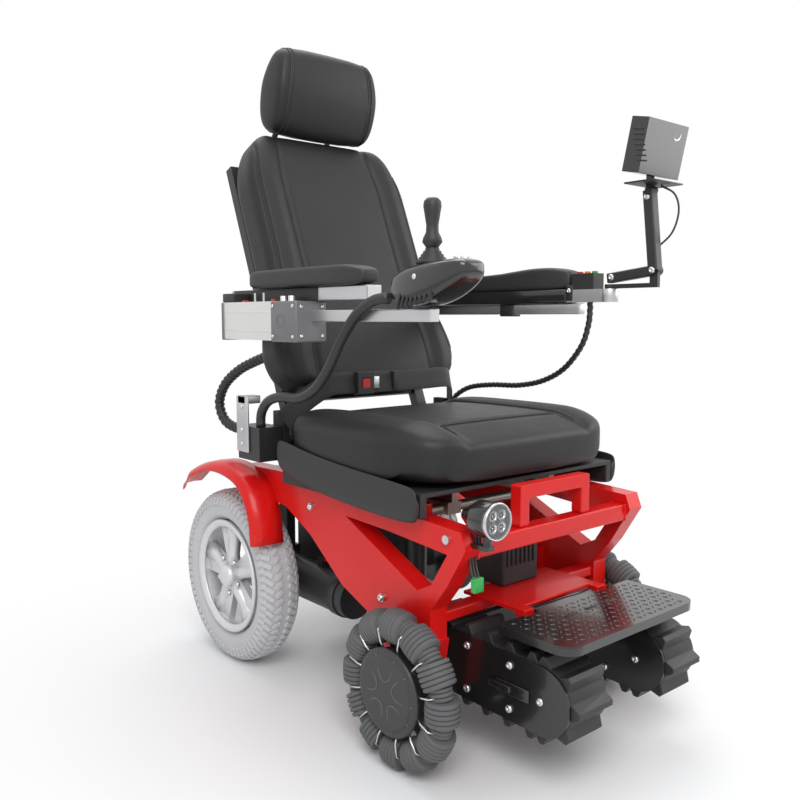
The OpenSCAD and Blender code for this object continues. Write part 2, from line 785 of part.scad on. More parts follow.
module seat_belt() color("#141414") {
  end_y = recline_y - lug_half;
  end_z = recline_z + recline_lug_top - lug_half;
  box([-belt_half, belt_y, belt_z - belt_w / 2], [belt_half, belt_y + belt_t2, belt_z + belt_w / 2]);
  both_sides() hull() {
    box([belt_half - belt_t2, belt_y, belt_z - belt_w / 2], [belt_half, belt_y + belt_t2, belt_z + belt_w / 2]);
    box([recline_lug_x + recline_lug_t - belt_t2, end_y - belt_t2, end_z - belt_w / 4],
      [recline_lug_x + recline_lug_t, end_y, end_z + belt_w / 4]);
  }
}

module belt_buckle() color("#18181a") difference() {
  box([buckle_x - buckle_w / 2, belt_y - buckle_t, belt_z - belt_w / 2 - over],
    [buckle_x + buckle_w / 2, belt_y, belt_z + belt_w / 2 + over]);
  box([buckle_x - button_w / 2 - gap, belt_y - buckle_t - over, belt_z - button_w / 2 - gap],
    [buckle_x + button_w / 2 + gap, belt_y - buckle_t / 4, belt_z + button_w / 2 + gap]);
}

module buckle_button() color("#d02020") {
  front = belt_y - buckle_t - over;
  box([buckle_x - button_w / 2, front, belt_z - button_w / 2], [buckle_x + button_w / 2, front + button_t,
    belt_z + button_w / 2]);
}

module back_frame() color("#242426") {
  leaned() {
    both_sides() {
      box([back_tube_x, 0, -back_tube_t / 2], [back_tube_x + back_tube_w, back_tube_t, back_tube_len]);
      box([back_tube_x + back_tube_w, 0, hinge_up - lug_half], [arm_in - gap * 4, back_tube_t,
        hinge_up + lug_half]);
      difference() {
        translate([post_x, back_tube_t / 2, post_low]) cylinder(h = socket_len, r = socket_r);
        translate([post_x, back_tube_t / 2, post_low - over]) cylinder(h = socket_len + 2 * over,
          r = post_r + fit);
      }
    }
    for (z = [back_low, post_low + socket_r]) both_sides() {
      box([post_x + socket_r - over, back_tube_t / 4, z], [back_tube_x, 3 * back_tube_t / 4, z + back_tube_t]);
    }
    box([-post_x + socket_r - over, back_tube_t / 4, post_low + socket_r],
      [post_x - socket_r + over, 3 * back_tube_t / 4, post_low + socket_r + back_tube_t]);
    box([-post_x - socket_r, back_tube_t / 4, back_low], [post_x + socket_r, 3 * back_tube_t / 4,
      back_low + back_tube_t]);
    box([-back_tube_x - over, gap - back_gap - over, lumbar_z], [back_tube_x + over, 3 * back_tube_t / 4,
      lumbar_z + back_tube_t]);
  }
  rod(-recline_lug_x - recline_lug_t, recline_lug_x + recline_lug_t, recline_y, recline_z, recline_r);
  both_sides() {
    rod(arm_in - lug_half, arm_in + arm_bar_w, arm_hinge_y, arm_hinge_z, arm_pin_r);
    box([cover_x, recline_y - lug_half, recline_z - cover_h / 2], [cover_x + cover_w, recline_y + cover_len,
      recline_z + cover_h / 2]);
    rod(recline_lug_x + recline_lug_t, cover_x, recline_y, recline_z, recline_r);
  }
}

module back_cushion() color("#1c1c1e") leaned()
  translate([0, -back_gap - back_t / 2, back_low + back_len / 2]) rotate([90, 0, 0])
    cushion([back_half, back_len / 2, back_t / 2 - over], seat_soft, back_bolster, back_channel,
      flare = back_flare);

module headrest_pad() color("#1c1c1e") translate([0, head_y, head_z]) rotate([head_lean, 0, 0])
  rotate([90, 0, 0]) cushion([head_half, head_h / 2, head_t / 2], head_soft, 0, 0);

module headrest_posts() color("#101012") leaned() both_sides() {
  translate([post_x, back_tube_t / 2, post_low]) cylinder(h = post_high - post_low, r = post_r);
  translate([post_x, back_tube_t / 2, post_high]) {
    cube(post_knuckle, center = true);
    rotate([post_bend, 0, 0]) cylinder(h = head_t, r = post_r);
  }
}

module arm_boss() {
  rod(arm_in, arm_in + arm_bar_w, arm_hinge_y, arm_hinge_z, boss_r);
  box([arm_in, arm_hinge_y - boss_r, arm_hinge_z], [arm_in + arm_bar_w, arm_hinge_y + boss_r, arm_bar_z]);
}

module arm_bore() rod(arm_in - over, arm_in + arm_bar_w + over, arm_hinge_y, arm_hinge_z, arm_pin_r + fit);

module arm_right_frame() color("#b9bbbe") mirror([1, 0, 0]) difference() {
  union() {
    arm_boss();
    box([arm_in, arm_hinge_y - pad_back - pad_len, arm_bar_z], [arm_in + arm_bar_w, arm_hinge_y + boss_r,
      arm_bar_z + arm_bar_h]);
    box([rail_x, pod_front + pod_len / 2, pod_z - rail_t], [rail_x + rail_t, box_y, pod_z]);
  }
  arm_bore();
}

module pad(side, back) color("#1d1d1f") translate([side * (pad_in + pad_w / 2),
  arm_hinge_y - back - pad_len / 2,
  arm_bar_z + arm_bar_h + pad_t / 2]) cushion([pad_w / 2, pad_len / 2, pad_t / 2], pad_soft, 0, 0, 28, 10);

module arm_right_pad() pad(-1, pad_back);
module arm_left_pad() pad(1, left_pad_back);

module switch_box() color("#d9d9d6") mirror([1, 0, 0]) {
  difference() {
    box([box_in, box_y, box_z], [box_in + box_w, box_y + box_len, arm_bar_z]);
    for (p = switch_places) translate([-switch_x, p, arm_bar_z - switch_depth])
      cylinder(h = switch_depth + over,
      r = switch_r + fit);
    box([-switch_x - switch_r - fit, rocker_y - switch_r * 2 - fit, arm_bar_z - switch_depth],
      [-switch_x + switch_r + fit, rocker_y + switch_r * 2 + fit, arm_bar_z + over]);
  }
  for (p = knob_places) translate([-switch_x, p, arm_bar_z]) cylinder(h = knob_r, r = switch_r + over);
}

switch_depth = 12;
rocker_y = box_y + 0.72 * box_len;
toggle_rear_y = box_y + 0.58 * box_len;
toggle_front_y = box_y + 0.46 * box_len;
push_y = box_y + 0.33 * box_len;
knob_places = [box_y + 0.1 * box_len, box_y + 0.2 * box_len];
switch_places = [toggle_rear_y, toggle_front_y, push_y];
toggle_z = arm_bar_z;
toggle_h = 16;
toggle_barrel = 0.7 * (switch_r - gap);
toggle_r = 2.5;

module toggle(y) color("#d0d0d4") translate([switch_x, y, toggle_z - switch_r]) {
  rotate([0, 90, 0]) cylinder(h = 2 * toggle_barrel, r = toggle_barrel, center = true);
  cylinder(h = switch_r + toggle_h, r = toggle_r);
}

module toggle_rear() toggle(toggle_rear_y);
module toggle_front() toggle(toggle_front_y);

module rocker_switch() color("#cf1f1f") difference() {
  rod(switch_x - switch_r + gap, switch_x + switch_r - gap, rocker_y, toggle_z - switch_r / 2, switch_r + over);
  box([switch_x - 2 * switch_r, rocker_y - 2 * switch_r, toggle_z - 3 * switch_r],
    [switch_x + 2 * switch_r, rocker_y + 2 * switch_r, toggle_z - switch_r]);
}

module push_button() color("#cf1f1f") translate([switch_x, push_y, toggle_z - switch_depth / 2])
  cylinder(h = switch_depth / 2 + button_rise, r = switch_r - gap);

module joystick_pod() color("#111113") difference() {
  box([-pod_in - pod_w, pod_front, pod_z], [-pod_in, pod_y, pod_z + pod_h]);
  translate([stick_x, stick_y, pod_z + pod_h - well_depth]) cylinder(h = well_depth + over, r = well_r);
  rod(stick_x - well_r - ring_pin_r, stick_x + well_r + ring_pin_r, stick_y, stick_z, ring_pin_r + fit);
}

module joystick_gimbal() color("#3a3a3c") {
  difference() {
    translate([stick_x, stick_y, stick_z - ring_h / 2]) cylinder(h = ring_h, r = ring_r);
    translate([stick_x, stick_y, stick_z - ring_h]) cylinder(h = 2 * ring_h, r = ring_in);
    translate([stick_x, stick_y + ring_r + over, stick_z]) rotate([90, 0, 0])
      cylinder(h = 2 * (ring_r + over), r = ball_pin_r + fit);
  }
  for (s = [0, 1]) translate([stick_x, stick_y, stick_z]) rotate([0, 90, 180 * s]) translate([0, 0,
    ring_r - over])
    cylinder(h = well_r - ring_r + over + ring_pin_r - gap, r = ring_pin_r);
}

module joystick_stick() color("#1a1a1c") translate([stick_x, stick_y, stick_z]) {
  sphere(ball_r);
  translate([0, ring_r - gap, 0]) rotate([90, 0, 0]) cylinder(h = 2 * (ring_r - gap), r = ball_pin_r);
  cylinder(h = stick_h, r = stick_r);
  for (k = [0 : 3]) translate([0, 0, ring_r + over + k * bellows_rib])
    cylinder(h = bellows_rib, r1 = bellows_r - 2 * k, r2 = bellows_r - 2 * k - over);
  translate([0, 0, stick_h]) sphere(knob_r);
}

module arm_left_frame() color("#b9bbbe") difference() {
  union() {
    arm_boss();
    box([arm_in, arm_hinge_y - left_bar_len, arm_bar_z], [arm_in + arm_bar_w, arm_hinge_y + boss_r,
      arm_bar_z + arm_bar_h]);
    translate([mast_x, mast_y, arm_bar_z]) cylinder(h = arm_bar_h, r = arm_bar_w / 2);
    translate([mast_x, mast_y, mast_z]) cylinder(h = link_t + gap, r = elbow_r);
  }
  arm_bore();
}

pod_block_y = arm_hinge_y - left_pad_back - pad_len - link_t - left_box_len;
pod_top = arm_bar_z + arm_bar_h + left_box_h;
button_places = [for (k = [0 : 2]) pod_block_y + left_box_len * (k + 0.5) / 3];

module button_pod() color("#161618") difference() {
  box([arm_in, pod_block_y, arm_bar_z + arm_bar_h], [arm_in + arm_bar_w, pod_block_y + left_box_len, pod_top]);
  for (y = button_places) translate([mast_x, y, pod_top - button_h]) cylinder(h = button_h + over,
    r = button_r + fit);
}

module pod_button(k) translate([mast_x, button_places[k], pod_top - button_h / 2])
  cylinder(h = button_h / 2 + button_rise, r = button_r - gap);

module pod_button_red() color("#d02020") pod_button(2);
module pod_button_orange() color("#e08a1c") pod_button(1);
module pod_button_green() color("#1f9a3a") pod_button(0);

module monitor_arm_lower() color("#161618") difference() {
  union() {
    translate([mast_x, mast_y, mast_z + gap]) cylinder(h = link_t, r = link_w / 2);
    box([mast_x - link_t / 2, mast_y - elbow_ahead, mast_z + gap], [mast_x + link_t / 2, mast_y - link_w / 3,
      mast_z + gap + link_t]);
    box([mast_x - link_t / 2, mast_y - elbow_ahead - link_t, mast_z + gap], [mast_x + link_t / 2,
      mast_y - elbow_ahead + link_t, mast_z + elbow_up]);
    rod(mast_x - link_t / 2, mast_x + link_t / 2 + link_t + gap, mast_y - elbow_ahead, mast_z + elbow_up,
      elbow_r);
    rod(mast_x - link_t / 2, mast_x + link_t / 2, mast_y - elbow_ahead, mast_z + elbow_up, link_w / 2);
  }
  translate([mast_x, mast_y, mast_z - over]) cylinder(h = 4 * link_t, r = elbow_r + fit);
}

module monitor_arm_upper() color("#161618") difference() {
  x = mast_x + link_t / 2 + gap;
  union() {
    for (p = [[mast_y - elbow_ahead, mast_z + elbow_up], [screen_y, screen_z]])
      rod(x, x + link_t, p[0], p[1], link_w / 2);
    along_x(x, x + link_t) polygon([[mast_y - elbow_ahead - link_w / 3, mast_z + elbow_up],
      [mast_y - elbow_ahead + link_w / 3, mast_z + elbow_up], [screen_y + link_w / 3, screen_z],
      [screen_y - link_w / 3, screen_z]]);
    rod(x - link_t - gap, x + link_t, screen_y, screen_z, elbow_r);
  }
  rod(x - over, x + link_t + over, mast_y - elbow_ahead, mast_z + elbow_up, elbow_r + fit);
}

module monitor_case() color("#111113") difference() {
  union() {
    rod(mast_x - link_t / 2, mast_x + link_t / 2, screen_y, screen_z, link_w / 2);
    translate([mast_x - link_t / 2, screen_y - link_w / 3, screen_z]) cube([link_t, 2 * link_w / 3,
      monitor_back]);
    translate([mast_x - monitor_w / 2, screen_y, screen_z + monitor_back - over]) rotate([monitor_lean, 0, 0])
      translate([0, -monitor_t / 2, 0]) cube([monitor_w, monitor_t, monitor_h]);
  }
  rod(mast_x - link_t, mast_x + link_t, screen_y, screen_z, elbow_r + fit);
}

screen_edge = 8;

module monitor_screen() color("#0a0c10") translate([mast_x - monitor_w / 2, screen_y,
  screen_z + monitor_back - over])
  rotate([monitor_lean, 0, 0]) translate([screen_edge, monitor_t / 2, screen_edge])
    cube([monitor_w - 2 * screen_edge, screen_t, monitor_h - 2 * screen_edge]);

module cable_joystick() color("#161617") sweep(joystick_route, cable_r);
module cable_loom() color("#161617") sweep(loom_route, loom_r);
module cable_left() color("#161617") sweep(left_route, lead_r);

side_frames();
cross_tubes();
portal_frame();
deck_plate();
fenders();
drive_motors();
battery_box();
control_box();
headlamp_housing();
headlamp_lens();
chassis_bolts();
actuator_body();
actuator_rod();
brake_lever_right();
brake_lever_left();
rear_tyre_right();
rear_tyre_left();
rear_rim_right();
rear_rim_left();
omni_hub_right();
omni_hub_left();
omni_rollers_right();
omni_rollers_left();
track_belts();
track_plates();
track_wheels();
footplate();
tilt_frame();
seat_pan();
seat_cushion();
seat_belt();
belt_buckle();
buckle_button();
back_frame();
back_cushion();
headrest_pad();
headrest_posts();
arm_right_frame();
arm_right_pad();
switch_box();
joystick_pod();
joystick_gimbal();
joystick_stick();
toggle_rear();
toggle_front();
rocker_switch();
push_button();
arm_left_frame();
arm_left_pad();
button_pod();
pod_button_red();
pod_button_orange();
pod_button_green();
monitor_arm_lower();
monitor_arm_upper();
monitor_case();
monitor_screen();
cable_joystick();
cable_loom();
cable_left();
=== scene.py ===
import math

import bmesh
import bpy
import numpy as np
from mathutils import Matrix, Vector


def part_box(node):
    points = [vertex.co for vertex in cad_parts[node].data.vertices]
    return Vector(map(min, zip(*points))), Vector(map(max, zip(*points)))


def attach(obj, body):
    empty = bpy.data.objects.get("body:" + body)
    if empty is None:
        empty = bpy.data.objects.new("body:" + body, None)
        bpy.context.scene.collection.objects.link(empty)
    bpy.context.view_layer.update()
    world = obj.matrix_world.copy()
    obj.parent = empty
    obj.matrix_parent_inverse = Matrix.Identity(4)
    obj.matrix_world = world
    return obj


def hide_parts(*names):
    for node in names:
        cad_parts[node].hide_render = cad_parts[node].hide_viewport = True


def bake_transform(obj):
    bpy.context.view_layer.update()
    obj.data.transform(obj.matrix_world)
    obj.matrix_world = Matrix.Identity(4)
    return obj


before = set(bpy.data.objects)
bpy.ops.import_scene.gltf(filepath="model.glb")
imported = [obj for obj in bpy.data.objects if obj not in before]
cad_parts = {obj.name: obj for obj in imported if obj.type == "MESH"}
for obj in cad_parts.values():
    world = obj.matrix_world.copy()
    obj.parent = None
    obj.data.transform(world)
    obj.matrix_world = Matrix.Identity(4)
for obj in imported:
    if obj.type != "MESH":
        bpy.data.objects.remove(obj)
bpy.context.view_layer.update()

MM = 0.001
SIDES = ((-1, "right"), (1, "left"))

# Camera, fitted to the photograph's 800 pixel square frame
PICTURE_PX = 800
FOCAL_PX = 840
SENSOR = 36
CAMERA_AT = (-1.086, -1.1995, 0.708)
LOOK_AT = (0.003, 0.0765, 0.545)

# Cable routes, in metres, with their radii
JOYSTICK_ROUTE = [
    (-0.262, -0.2066, 0.738), (-0.262, -0.1909, 0.738), (-0.262, -0.165, 0.733), (-0.262, -0.125, 0.712),
    (-0.262, -0.085, 0.672), (-0.262, -0.05, 0.625), (-0.262, -0.01, 0.588), (-0.262, 0.04, 0.568),
    (-0.262, 0.095, 0.566), (-0.262, 0.14, 0.556), (-0.26, 0.168, 0.536), (-0.258, 0.178, 0.5185),
    (-0.258, 0.178, 0.5028)]
LOOM_ROUTE = [
    (-0.1725, 0.2714, 0.6378), (-0.1725, 0.2859, 0.6319), (-0.18, 0.33, 0.618), (-0.192, 0.375, 0.598),
    (-0.201, 0.418, 0.566), (-0.203, 0.44, 0.525), (-0.201, 0.418, 0.487), (-0.192, 0.365, 0.473),
    (-0.174, 0.31, 0.473), (-0.1725, 0.268, 0.482), (-0.1725, 0.2297, 0.4929), (-0.1725, 0.2152, 0.4987)]
LEFT_ROUTE = [
    (0.228, -0.215, 0.7381), (0.228, -0.215, 0.7224), (0.229, -0.211, 0.695), (0.23, -0.195, 0.655),
    (0.236, -0.15, 0.61), (0.244, -0.09, 0.582), (0.25, -0.02, 0.568), (0.252, 0.06, 0.564),
    (0.252, 0.125, 0.555), (0.25, 0.165, 0.536), (0.248, 0.178, 0.5185), (0.248, 0.178, 0.5028)]
JOYSTICK_RADIUS = 0.009
LOOM_RADIUS, LOOM_WRAP = 0.011, 0.0022
LEFT_RADIUS, LEFT_WRAP = 0.006, 0.0014
WRAP_PITCH = 0.012
PLAIN_STEP, WRAPPED_STEP = 0.006, 0.0024


def aimed(name, data, place, target):
    """A camera or a lamp in its place, turned to look at the target."""
    holder = bpy.data.objects.new(name, data)
    holder.location = place
    holder.rotation_euler = (Vector(target) - Vector(place)).to_track_quat("-Z", "Y").to_euler()
    bpy.context.collection.objects.link(holder)
    return holder


def make_camera():
    data = bpy.data.cameras.new("camera")
    data.sensor_width = SENSOR
    data.lens = SENSOR * FOCAL_PX / PICTURE_PX
    bpy.context.scene.camera = aimed("camera", data, CAMERA_AT, LOOK_AT)


class Value:
    """A shader socket that takes part in Python sums."""

    def __init__(self, nodes, socket):
        self.nodes = nodes
        self.socket = socket

    def maths(self, operation, first, second):
        return self.nodes.node("ShaderNodeMath", {"operation": operation}, {0: first, 1: second})

    def __add__(self, other):
        return self.maths("ADD", self, other)

    __radd__ = __add__

    def __mul__(self, other):
        return self.maths("MULTIPLY", self, other)

    __rmul__ = __mul__

    def __sub__(self, other):
        return self.maths("SUBTRACT", self, other)

    def __pow__(self, other):
        return self.maths("POWER", self, other)


class Nodes:
    """The shader nodes of a material or a world, built one by one."""

    def __init__(self, owner):
        owner.use_nodes = True
        self.tree = owner.node_tree

    def node(self, kind, settings=None, inputs=None, output=0):
        made = self.tree.nodes.new(kind)
        for key, value in (settings or {}).items():
            setattr(made, key, value)
        for key, value in (inputs or {}).items():
            self.plug(made.inputs[key], value)
        return Value(self, made.outputs[output])

    def plug(self, socket, value):
        if isinstance(value, Value):
            self.tree.links.new(value.socket, socket)
        else:
            socket.default_value = value


class Finish(Nodes):
    """One material."""

    def __init__(self, name):
        self.material = bpy.data.materials.new(name)
        super().__init__(self.material)
        self.shader = self.tree.nodes["Principled BSDF"]

    def set(self, **sockets):
        for key, value in sockets.items():
            self.plug(self.shader.inputs[key.replace("_", " ")], value)
        return self

    def place(self):
        return self.node("ShaderNodeTexCoord", output="Object")

    def noise(self, scale, detail=4.0, rough=0.55, where=None):
        return self.node("ShaderNodeTexNoise", None,
                         {"Vector": where or self.place(), "Scale": scale, "Detail": detail, "Roughness": rough})

    def cells(self, scale, feature):
        return self.node("ShaderNodeTexVoronoi", {"feature": feature}, {"Vector": self.place(), "Scale": scale})

    def waves(self, direction, scale, distortion):
        return self.node("ShaderNodeTexWave", {"bands_direction": direction},
                         {"Vector": self.place(), "Scale": scale, "Distortion": distortion})

    def blend(self, share, first, second):
        mixed = self.tree.nodes.new("ShaderNodeMix")
        mixed.data_type = "RGBA"
        self.plug(mixed.inputs[0], share)
        self.plug(mixed.inputs[6], first)
        self.plug(mixed.inputs[7], second)
        return Value(self, mixed.outputs[2])

    def bump(self, height, strength, distance):
        made = self.node("ShaderNodeBump", None, {"Height": height, "Strength": strength, "Distance": distance})
        self.plug(self.shader.inputs["Normal"], made)
        return self


def shade(value):
    """A colour as it is, or a neutral grey from one number."""
    return value if isinstance(value, tuple) else (value, value, value * 1.02, 1)


def tinted(name, colour, dark, rough, metallic=0.0, coat=0.0, fine=900, bump=0.04, shine=0.5):
    """A finish with slow colour drift, fine surface texture and worn patches in its gloss."""
    finish = Finish(name)
    drift = finish.noise(14, 3)
    fine_noise = finish.noise(fine, 3)
    finish.set(Base_Color=finish.blend(drift, shade(colour), shade(dark)), Roughness=rough + 0.14 * (drift - 0.5),
               Metallic=metallic, Coat_Weight=coat, Coat_Roughness=0.08, Specular_IOR_Level=shine)
    finish.bump(fine_noise, bump, 0.0004)
    return finish.material


def leather_finish():
    finish = Finish("grained_leather")
    grain = finish.cells(620, "DISTANCE_TO_EDGE")
    crease = finish.noise(38, 6, 0.65)
    drift = finish.noise(7, 2)
    height = 0.7 * (grain ** 0.5) + 0.5 * crease
    colour = finish.blend(drift, (0.012, 0.012, 0.0125, 1), (0.019, 0.019, 0.0195, 1))
    finish.set(Base_Color=colour, Roughness=0.47 + 0.16 * (crease - 0.5), Specular_IOR_Level=0.36)
    return finish.bump(height, 0.22, 0.0007).material


def webbing_finish():
    finish = Finish("belt_webbing")
    across, along = finish.waves("X", 260.0, 0.4), finish.waves("Z", 190.0, 0.4)
    colour = finish.blend(across, (0.01, 0.01, 0.011, 1), (0.022, 0.022, 0.023, 1))
    finish.set(Base_Color=colour, Roughness=0.72, Sheen_Weight=0.2)
    return finish.bump(across + along, 0.35, 0.0006).material


def glass_finish():
    finish = Finish("lamp_glass")
    ripple = finish.waves("X", 60.0, 0.0)
    finish.set(Base_Color=(0.95, 0.97, 0.98, 1), Roughness=0.04, Transmission_Weight=0.9, IOR=1.45)
    return finish.bump(ripple, 0.12, 0.0008).material


def brushed_finish(name, colour, dark, rough, direction, metal=0.9):
    """Metal with fine lines drawn along one axis."""
    finish = Finish(name)
    stretch = finish.node("ShaderNodeMapping", None, {"Vector": finish.place(), "Scale": direction})
    lines = finish.noise(1, 5, 0.7, stretch)
    drift = finish.noise(9, 3)
    finish.set(Base_Color=finish.blend(drift, shade(colour), shade(dark)), Metallic=metal,
               Roughness=rough + 0.2 * (lines - 0.5))
    return finish.bump(lines, 0.08, 0.0003).material


RED = tinted("red_gloss_paint", (0.74, 0.01, 0.008, 1), (0.66, 0.006, 0.006, 1), 0.3, coat=0.12, bump=0.03,
             fine=420, shine=0.3)
BLACK_GLOSS = tinted("black_gloss_paint", 0.01, 0.016, 0.2, coat=0.5, bump=0.03, fine=500)
BLACK_PAINT = tinted("black_satin_paint", 0.014, 0.024, 0.42, bump=0.08, fine=800)
BLACK_PLASTIC = tinted("black_grained_plastic", 0.015, 0.024, 0.52, bump=0.25, fine=1100)
TYRE = tinted("grey_tyre_rubber", 0.6, 0.52, 0.72, bump=0.15, fine=700)
ROLLER = tinted("roller_rubber", 0.085, 0.13, 0.62, bump=0.15, fine=900)
TRACK = tinted("track_rubber", 0.014, 0.026, 0.5, bump=0.18, fine=700)
HUB = tinted("hub_grey_plastic", 0.03, 0.042, 0.4, bump=0.1, fine=1000)
HUB_LINE = tinted("hub_line_plastic", 0.09, 0.12, 0.4, bump=0.1, fine=1000)
CABLE = tinted("cable_sheath", 0.015, 0.024, 0.45, bump=0.1, fine=900)
PAD = tinted("moulded_pad_skin", 0.016, 0.026, 0.5, bump=0.3, fine=1000)
END_GREY = tinted("grey_end_casting", 0.16, 0.2, 0.45, metallic=0.3, bump=0.12, fine=900)
STITCH = tinted("stitch_thread", 0.03, 0.045, 0.7, bump=0.2, fine=2500)
RED_PLASTIC = tinted("red_switch_plastic", (0.62, 0.015, 0.015, 1), (0.5, 0.01, 0.01, 1), 0.3, coat=0.3)
ORANGE = tinted("orange_switch_plastic", (0.85, 0.25, 0.02, 1), (0.72, 0.2, 0.02, 1), 0.32, coat=0.3)
GREEN = tinted("green_switch_plastic", (0.03, 0.42, 0.08, 1), (0.02, 0.32, 0.06, 1), 0.32, coat=0.3)
SCREEN = tinted("dark_screen", 0.004, 0.007, 0.12, coat=0.8, bump=0.0)
RIM = brushed_finish("cast_rim_silver", 0.74, 0.66, 0.42, (300, 300, 300), 0.55)
STEEL = brushed_finish("bright_steel", 0.68, 0.55, 0.24, (40, 900, 900))
RAIL = brushed_finish("rail_steel", (0.36, 0.33, 0.29, 1), (0.28, 0.25, 0.22, 1), 0.4, (900, 30, 900))
ALUMINIUM = brushed_finish("drawn_aluminium", 0.62, 0.54, 0.34, (900, 24, 900))
CASE_METAL = brushed_finish("pale_extruded_case", (0.8, 0.8, 0.77, 1), (0.7, 0.7, 0.68, 1), 0.46, (700, 20, 700))
LEATHER = leather_finish()
WEBBING = webbing_finish()
GLASS = glass_finish()

NODE_FINISH = {
    RED: ["side_frames", "cross_tubes", "portal_frame", "deck_plate", "fenders"],
    BLACK_PAINT: ["drive_motors", "back_frame", "actuator_body", "monitor_arm_lower", "monitor_arm_upper",
                  "headrest_posts", "track_wheels"],
    BLACK_PLASTIC: ["battery_box", "control_box", "seat_pan", "belt_buckle", "button_pod", "joystick_gimbal",
                    "joystick_stick"],
    BLACK_GLOSS: ["headlamp_housing", "track_plates", "footplate", "joystick_pod", "monitor_case"],
    TYRE: ["rear_tyre_right", "rear_tyre_left"],
    RIM: ["rear_rim_right", "rear_rim_left"],
    HUB: ["omni_hub_right", "omni_hub_left"],
    ROLLER: ["omni_rollers_right", "omni_rollers_left"],
    TRACK: ["track_belts"],
    STEEL: ["chassis_bolts", "actuator_rod", "toggle_rear", "toggle_front"],
    RAIL: ["tilt_frame"],
    ALUMINIUM: ["arm_right_frame", "arm_left_frame"],
    CASE_METAL: ["switch_box"],
    RED_PLASTIC: ["brake_lever_right", "brake_lever_left", "buckle_button", "rocker_switch", "push_button",
                  "pod_button_red"],
    ORANGE: ["pod_button_orange"],
    GREEN: ["pod_button_green"],
    GLASS: ["headlamp_lens"],
    SCREEN: ["monitor_screen"],
    WEBBING: ["seat_belt"],
    LEATHER: ["seat_cushion", "back_cushion", "headrest_pad"],
    PAD: ["arm_right_pad", "arm_left_pad"],
    CABLE: ["cable_joystick", "cable_loom", "cable_left"],
}
# Widths of the broken edges, in mm
EDGE_WIDTH = {
    "side_frames": 3.0, "cross_tubes": 2.5, "portal_frame": 3.0, "deck_plate": 1.5, "battery_box": 6.0,
    "control_box": 4.0, "footplate": 2.5, "switch_box": 3.0, "monitor_case": 5.0, "button_pod": 3.0,
    "belt_buckle": 2.0, "seat_pan": 2.0, "drive_motors": 2.5, "back_frame": 2.5, "arm_left_frame": 2.0,
    "arm_right_frame": 2.0, "tilt_frame": 1.5, "headlamp_housing": 3.0, "track_plates": 1.2, "rear_rim_right": 2.5,
    "rear_rim_left": 2.5, "omni_hub_right": 0.8, "omni_hub_left": 0.8, "track_belts": 1.5}


def add_bevel(piece, width, segments):
    bevel = piece.modifiers.new("edge", "BEVEL")
    bevel.width = width
    bevel.segments = segments
    bevel.limit_method = "ANGLE"
    return bevel


def dress_cad_nodes():
    """Every carried-over solid gets its finish, and hard edges are broken as on a real pressing."""
    for material, names in NODE_FINISH.items():
        for name in names:
            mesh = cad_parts[name].data
            mesh.materials.clear()
            mesh.materials.append(material)
    for name, width in EDGE_WIDTH.items():
        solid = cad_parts[name]
        solid.modifiers.new("weld", "WELD").merge_threshold = 0.00002
        add_bevel(solid, width * MM, 2).angle_limit = math.radians(35)


def new_piece(name, points, faces, material):
    mesh = bpy.data.meshes.new(name)
    mesh.from_pydata([tuple(p) for p in points], [], faces)
    mesh.validate()
    mesh.update()
    mesh.polygons.foreach_set("use_smooth", [True] * len(mesh.polygons))
    mesh.materials.append(material)
    piece = bpy.data.objects.new(name, mesh)
    bpy.context.collection.objects.link(piece)
    return piece


def strips(rows, count):
    """Faces between rows of points, each row a closed loop of count points."""
    faces = []
    for i in range(rows - 1):
        for k in range(count):
            a, b = i * count + k, i * count + (k + 1) % count
            faces.append((a, b, b + count, a + count))
    return faces


def loft(name, rings, material, capped=True):
    """A skin over rings of equal count, each a closed loop."""
    count = len(rings[0])
    faces = strips(len(rings), count)
    if capped:
        faces.append(tuple(reversed(range(count))))
        faces.append(tuple((len(rings) - 1) * count + k for k in range(count)))
    return fix_normals(new_piece(name, [p for ring in rings for p in ring], faces, material))


def fix_normals(piece):
    work = bmesh.new()
    work.from_mesh(piece.data)
    bmesh.ops.remove_doubles(work, verts=work.verts, dist=1e-6)
    bmesh.ops.recalc_face_normals(work, faces=work.faces)
    work.to_mesh(piece.data)
    work.free()
    return piece


def settle(piece):
    """Applies the modifiers, so the piece is a plain mesh at the origin."""
    graph = bpy.context.evaluated_depsgraph_get()
    mesh = bpy.data.meshes.new_from_object(piece.evaluated_get(graph))
    piece.modifiers.clear()
    piece.data = mesh
    return piece


def soften(piece, width):
    add_bevel(piece, width, 3)
    return settle(piece)


def rounded(piece):
    smooth = piece.modifiers.new("smooth", "SUBSURF")
    smooth.levels = smooth.render_levels = 2
    return settle(piece)


def put(body, slot, *pieces):
    """Pieces that move with a body; the slot is not used."""
    for piece in pieces:
        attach(piece, body)


def heading(line, i):
    return (line[min(i + 1, len(line) - 1)] - line[max(i - 1, 0)]).normalized()


def square_to(v, axis):
    """The part of v that is square to a unit axis, at unit length."""
    return (v - v.dot(axis) * axis).normalized()


def wheel_way(a):
    """The unit vector at an angle in a wheel's plane."""
    return Vector((0, math.cos(a), math.sin(a)))


def scaled(unit, half):
    return Vector((unit.x * half[0], unit.y * half[1], unit.z * half[2]))


def block(name, low, high, material, width=0.003):
    """A box with broken edges."""
    corners = [(x, y, z) for x in (low[0], high[0]) for y in (low[1], high[1]) for z in (low[2], high[2])]
    faces = [(0, 1, 3, 2), (4, 6, 7, 5), (0, 4, 5, 1), (2, 3, 7, 6), (0, 2, 6, 4), (1, 5, 7, 3)]
    return soften(fix_normals(new_piece(name, corners, faces, material)), width)


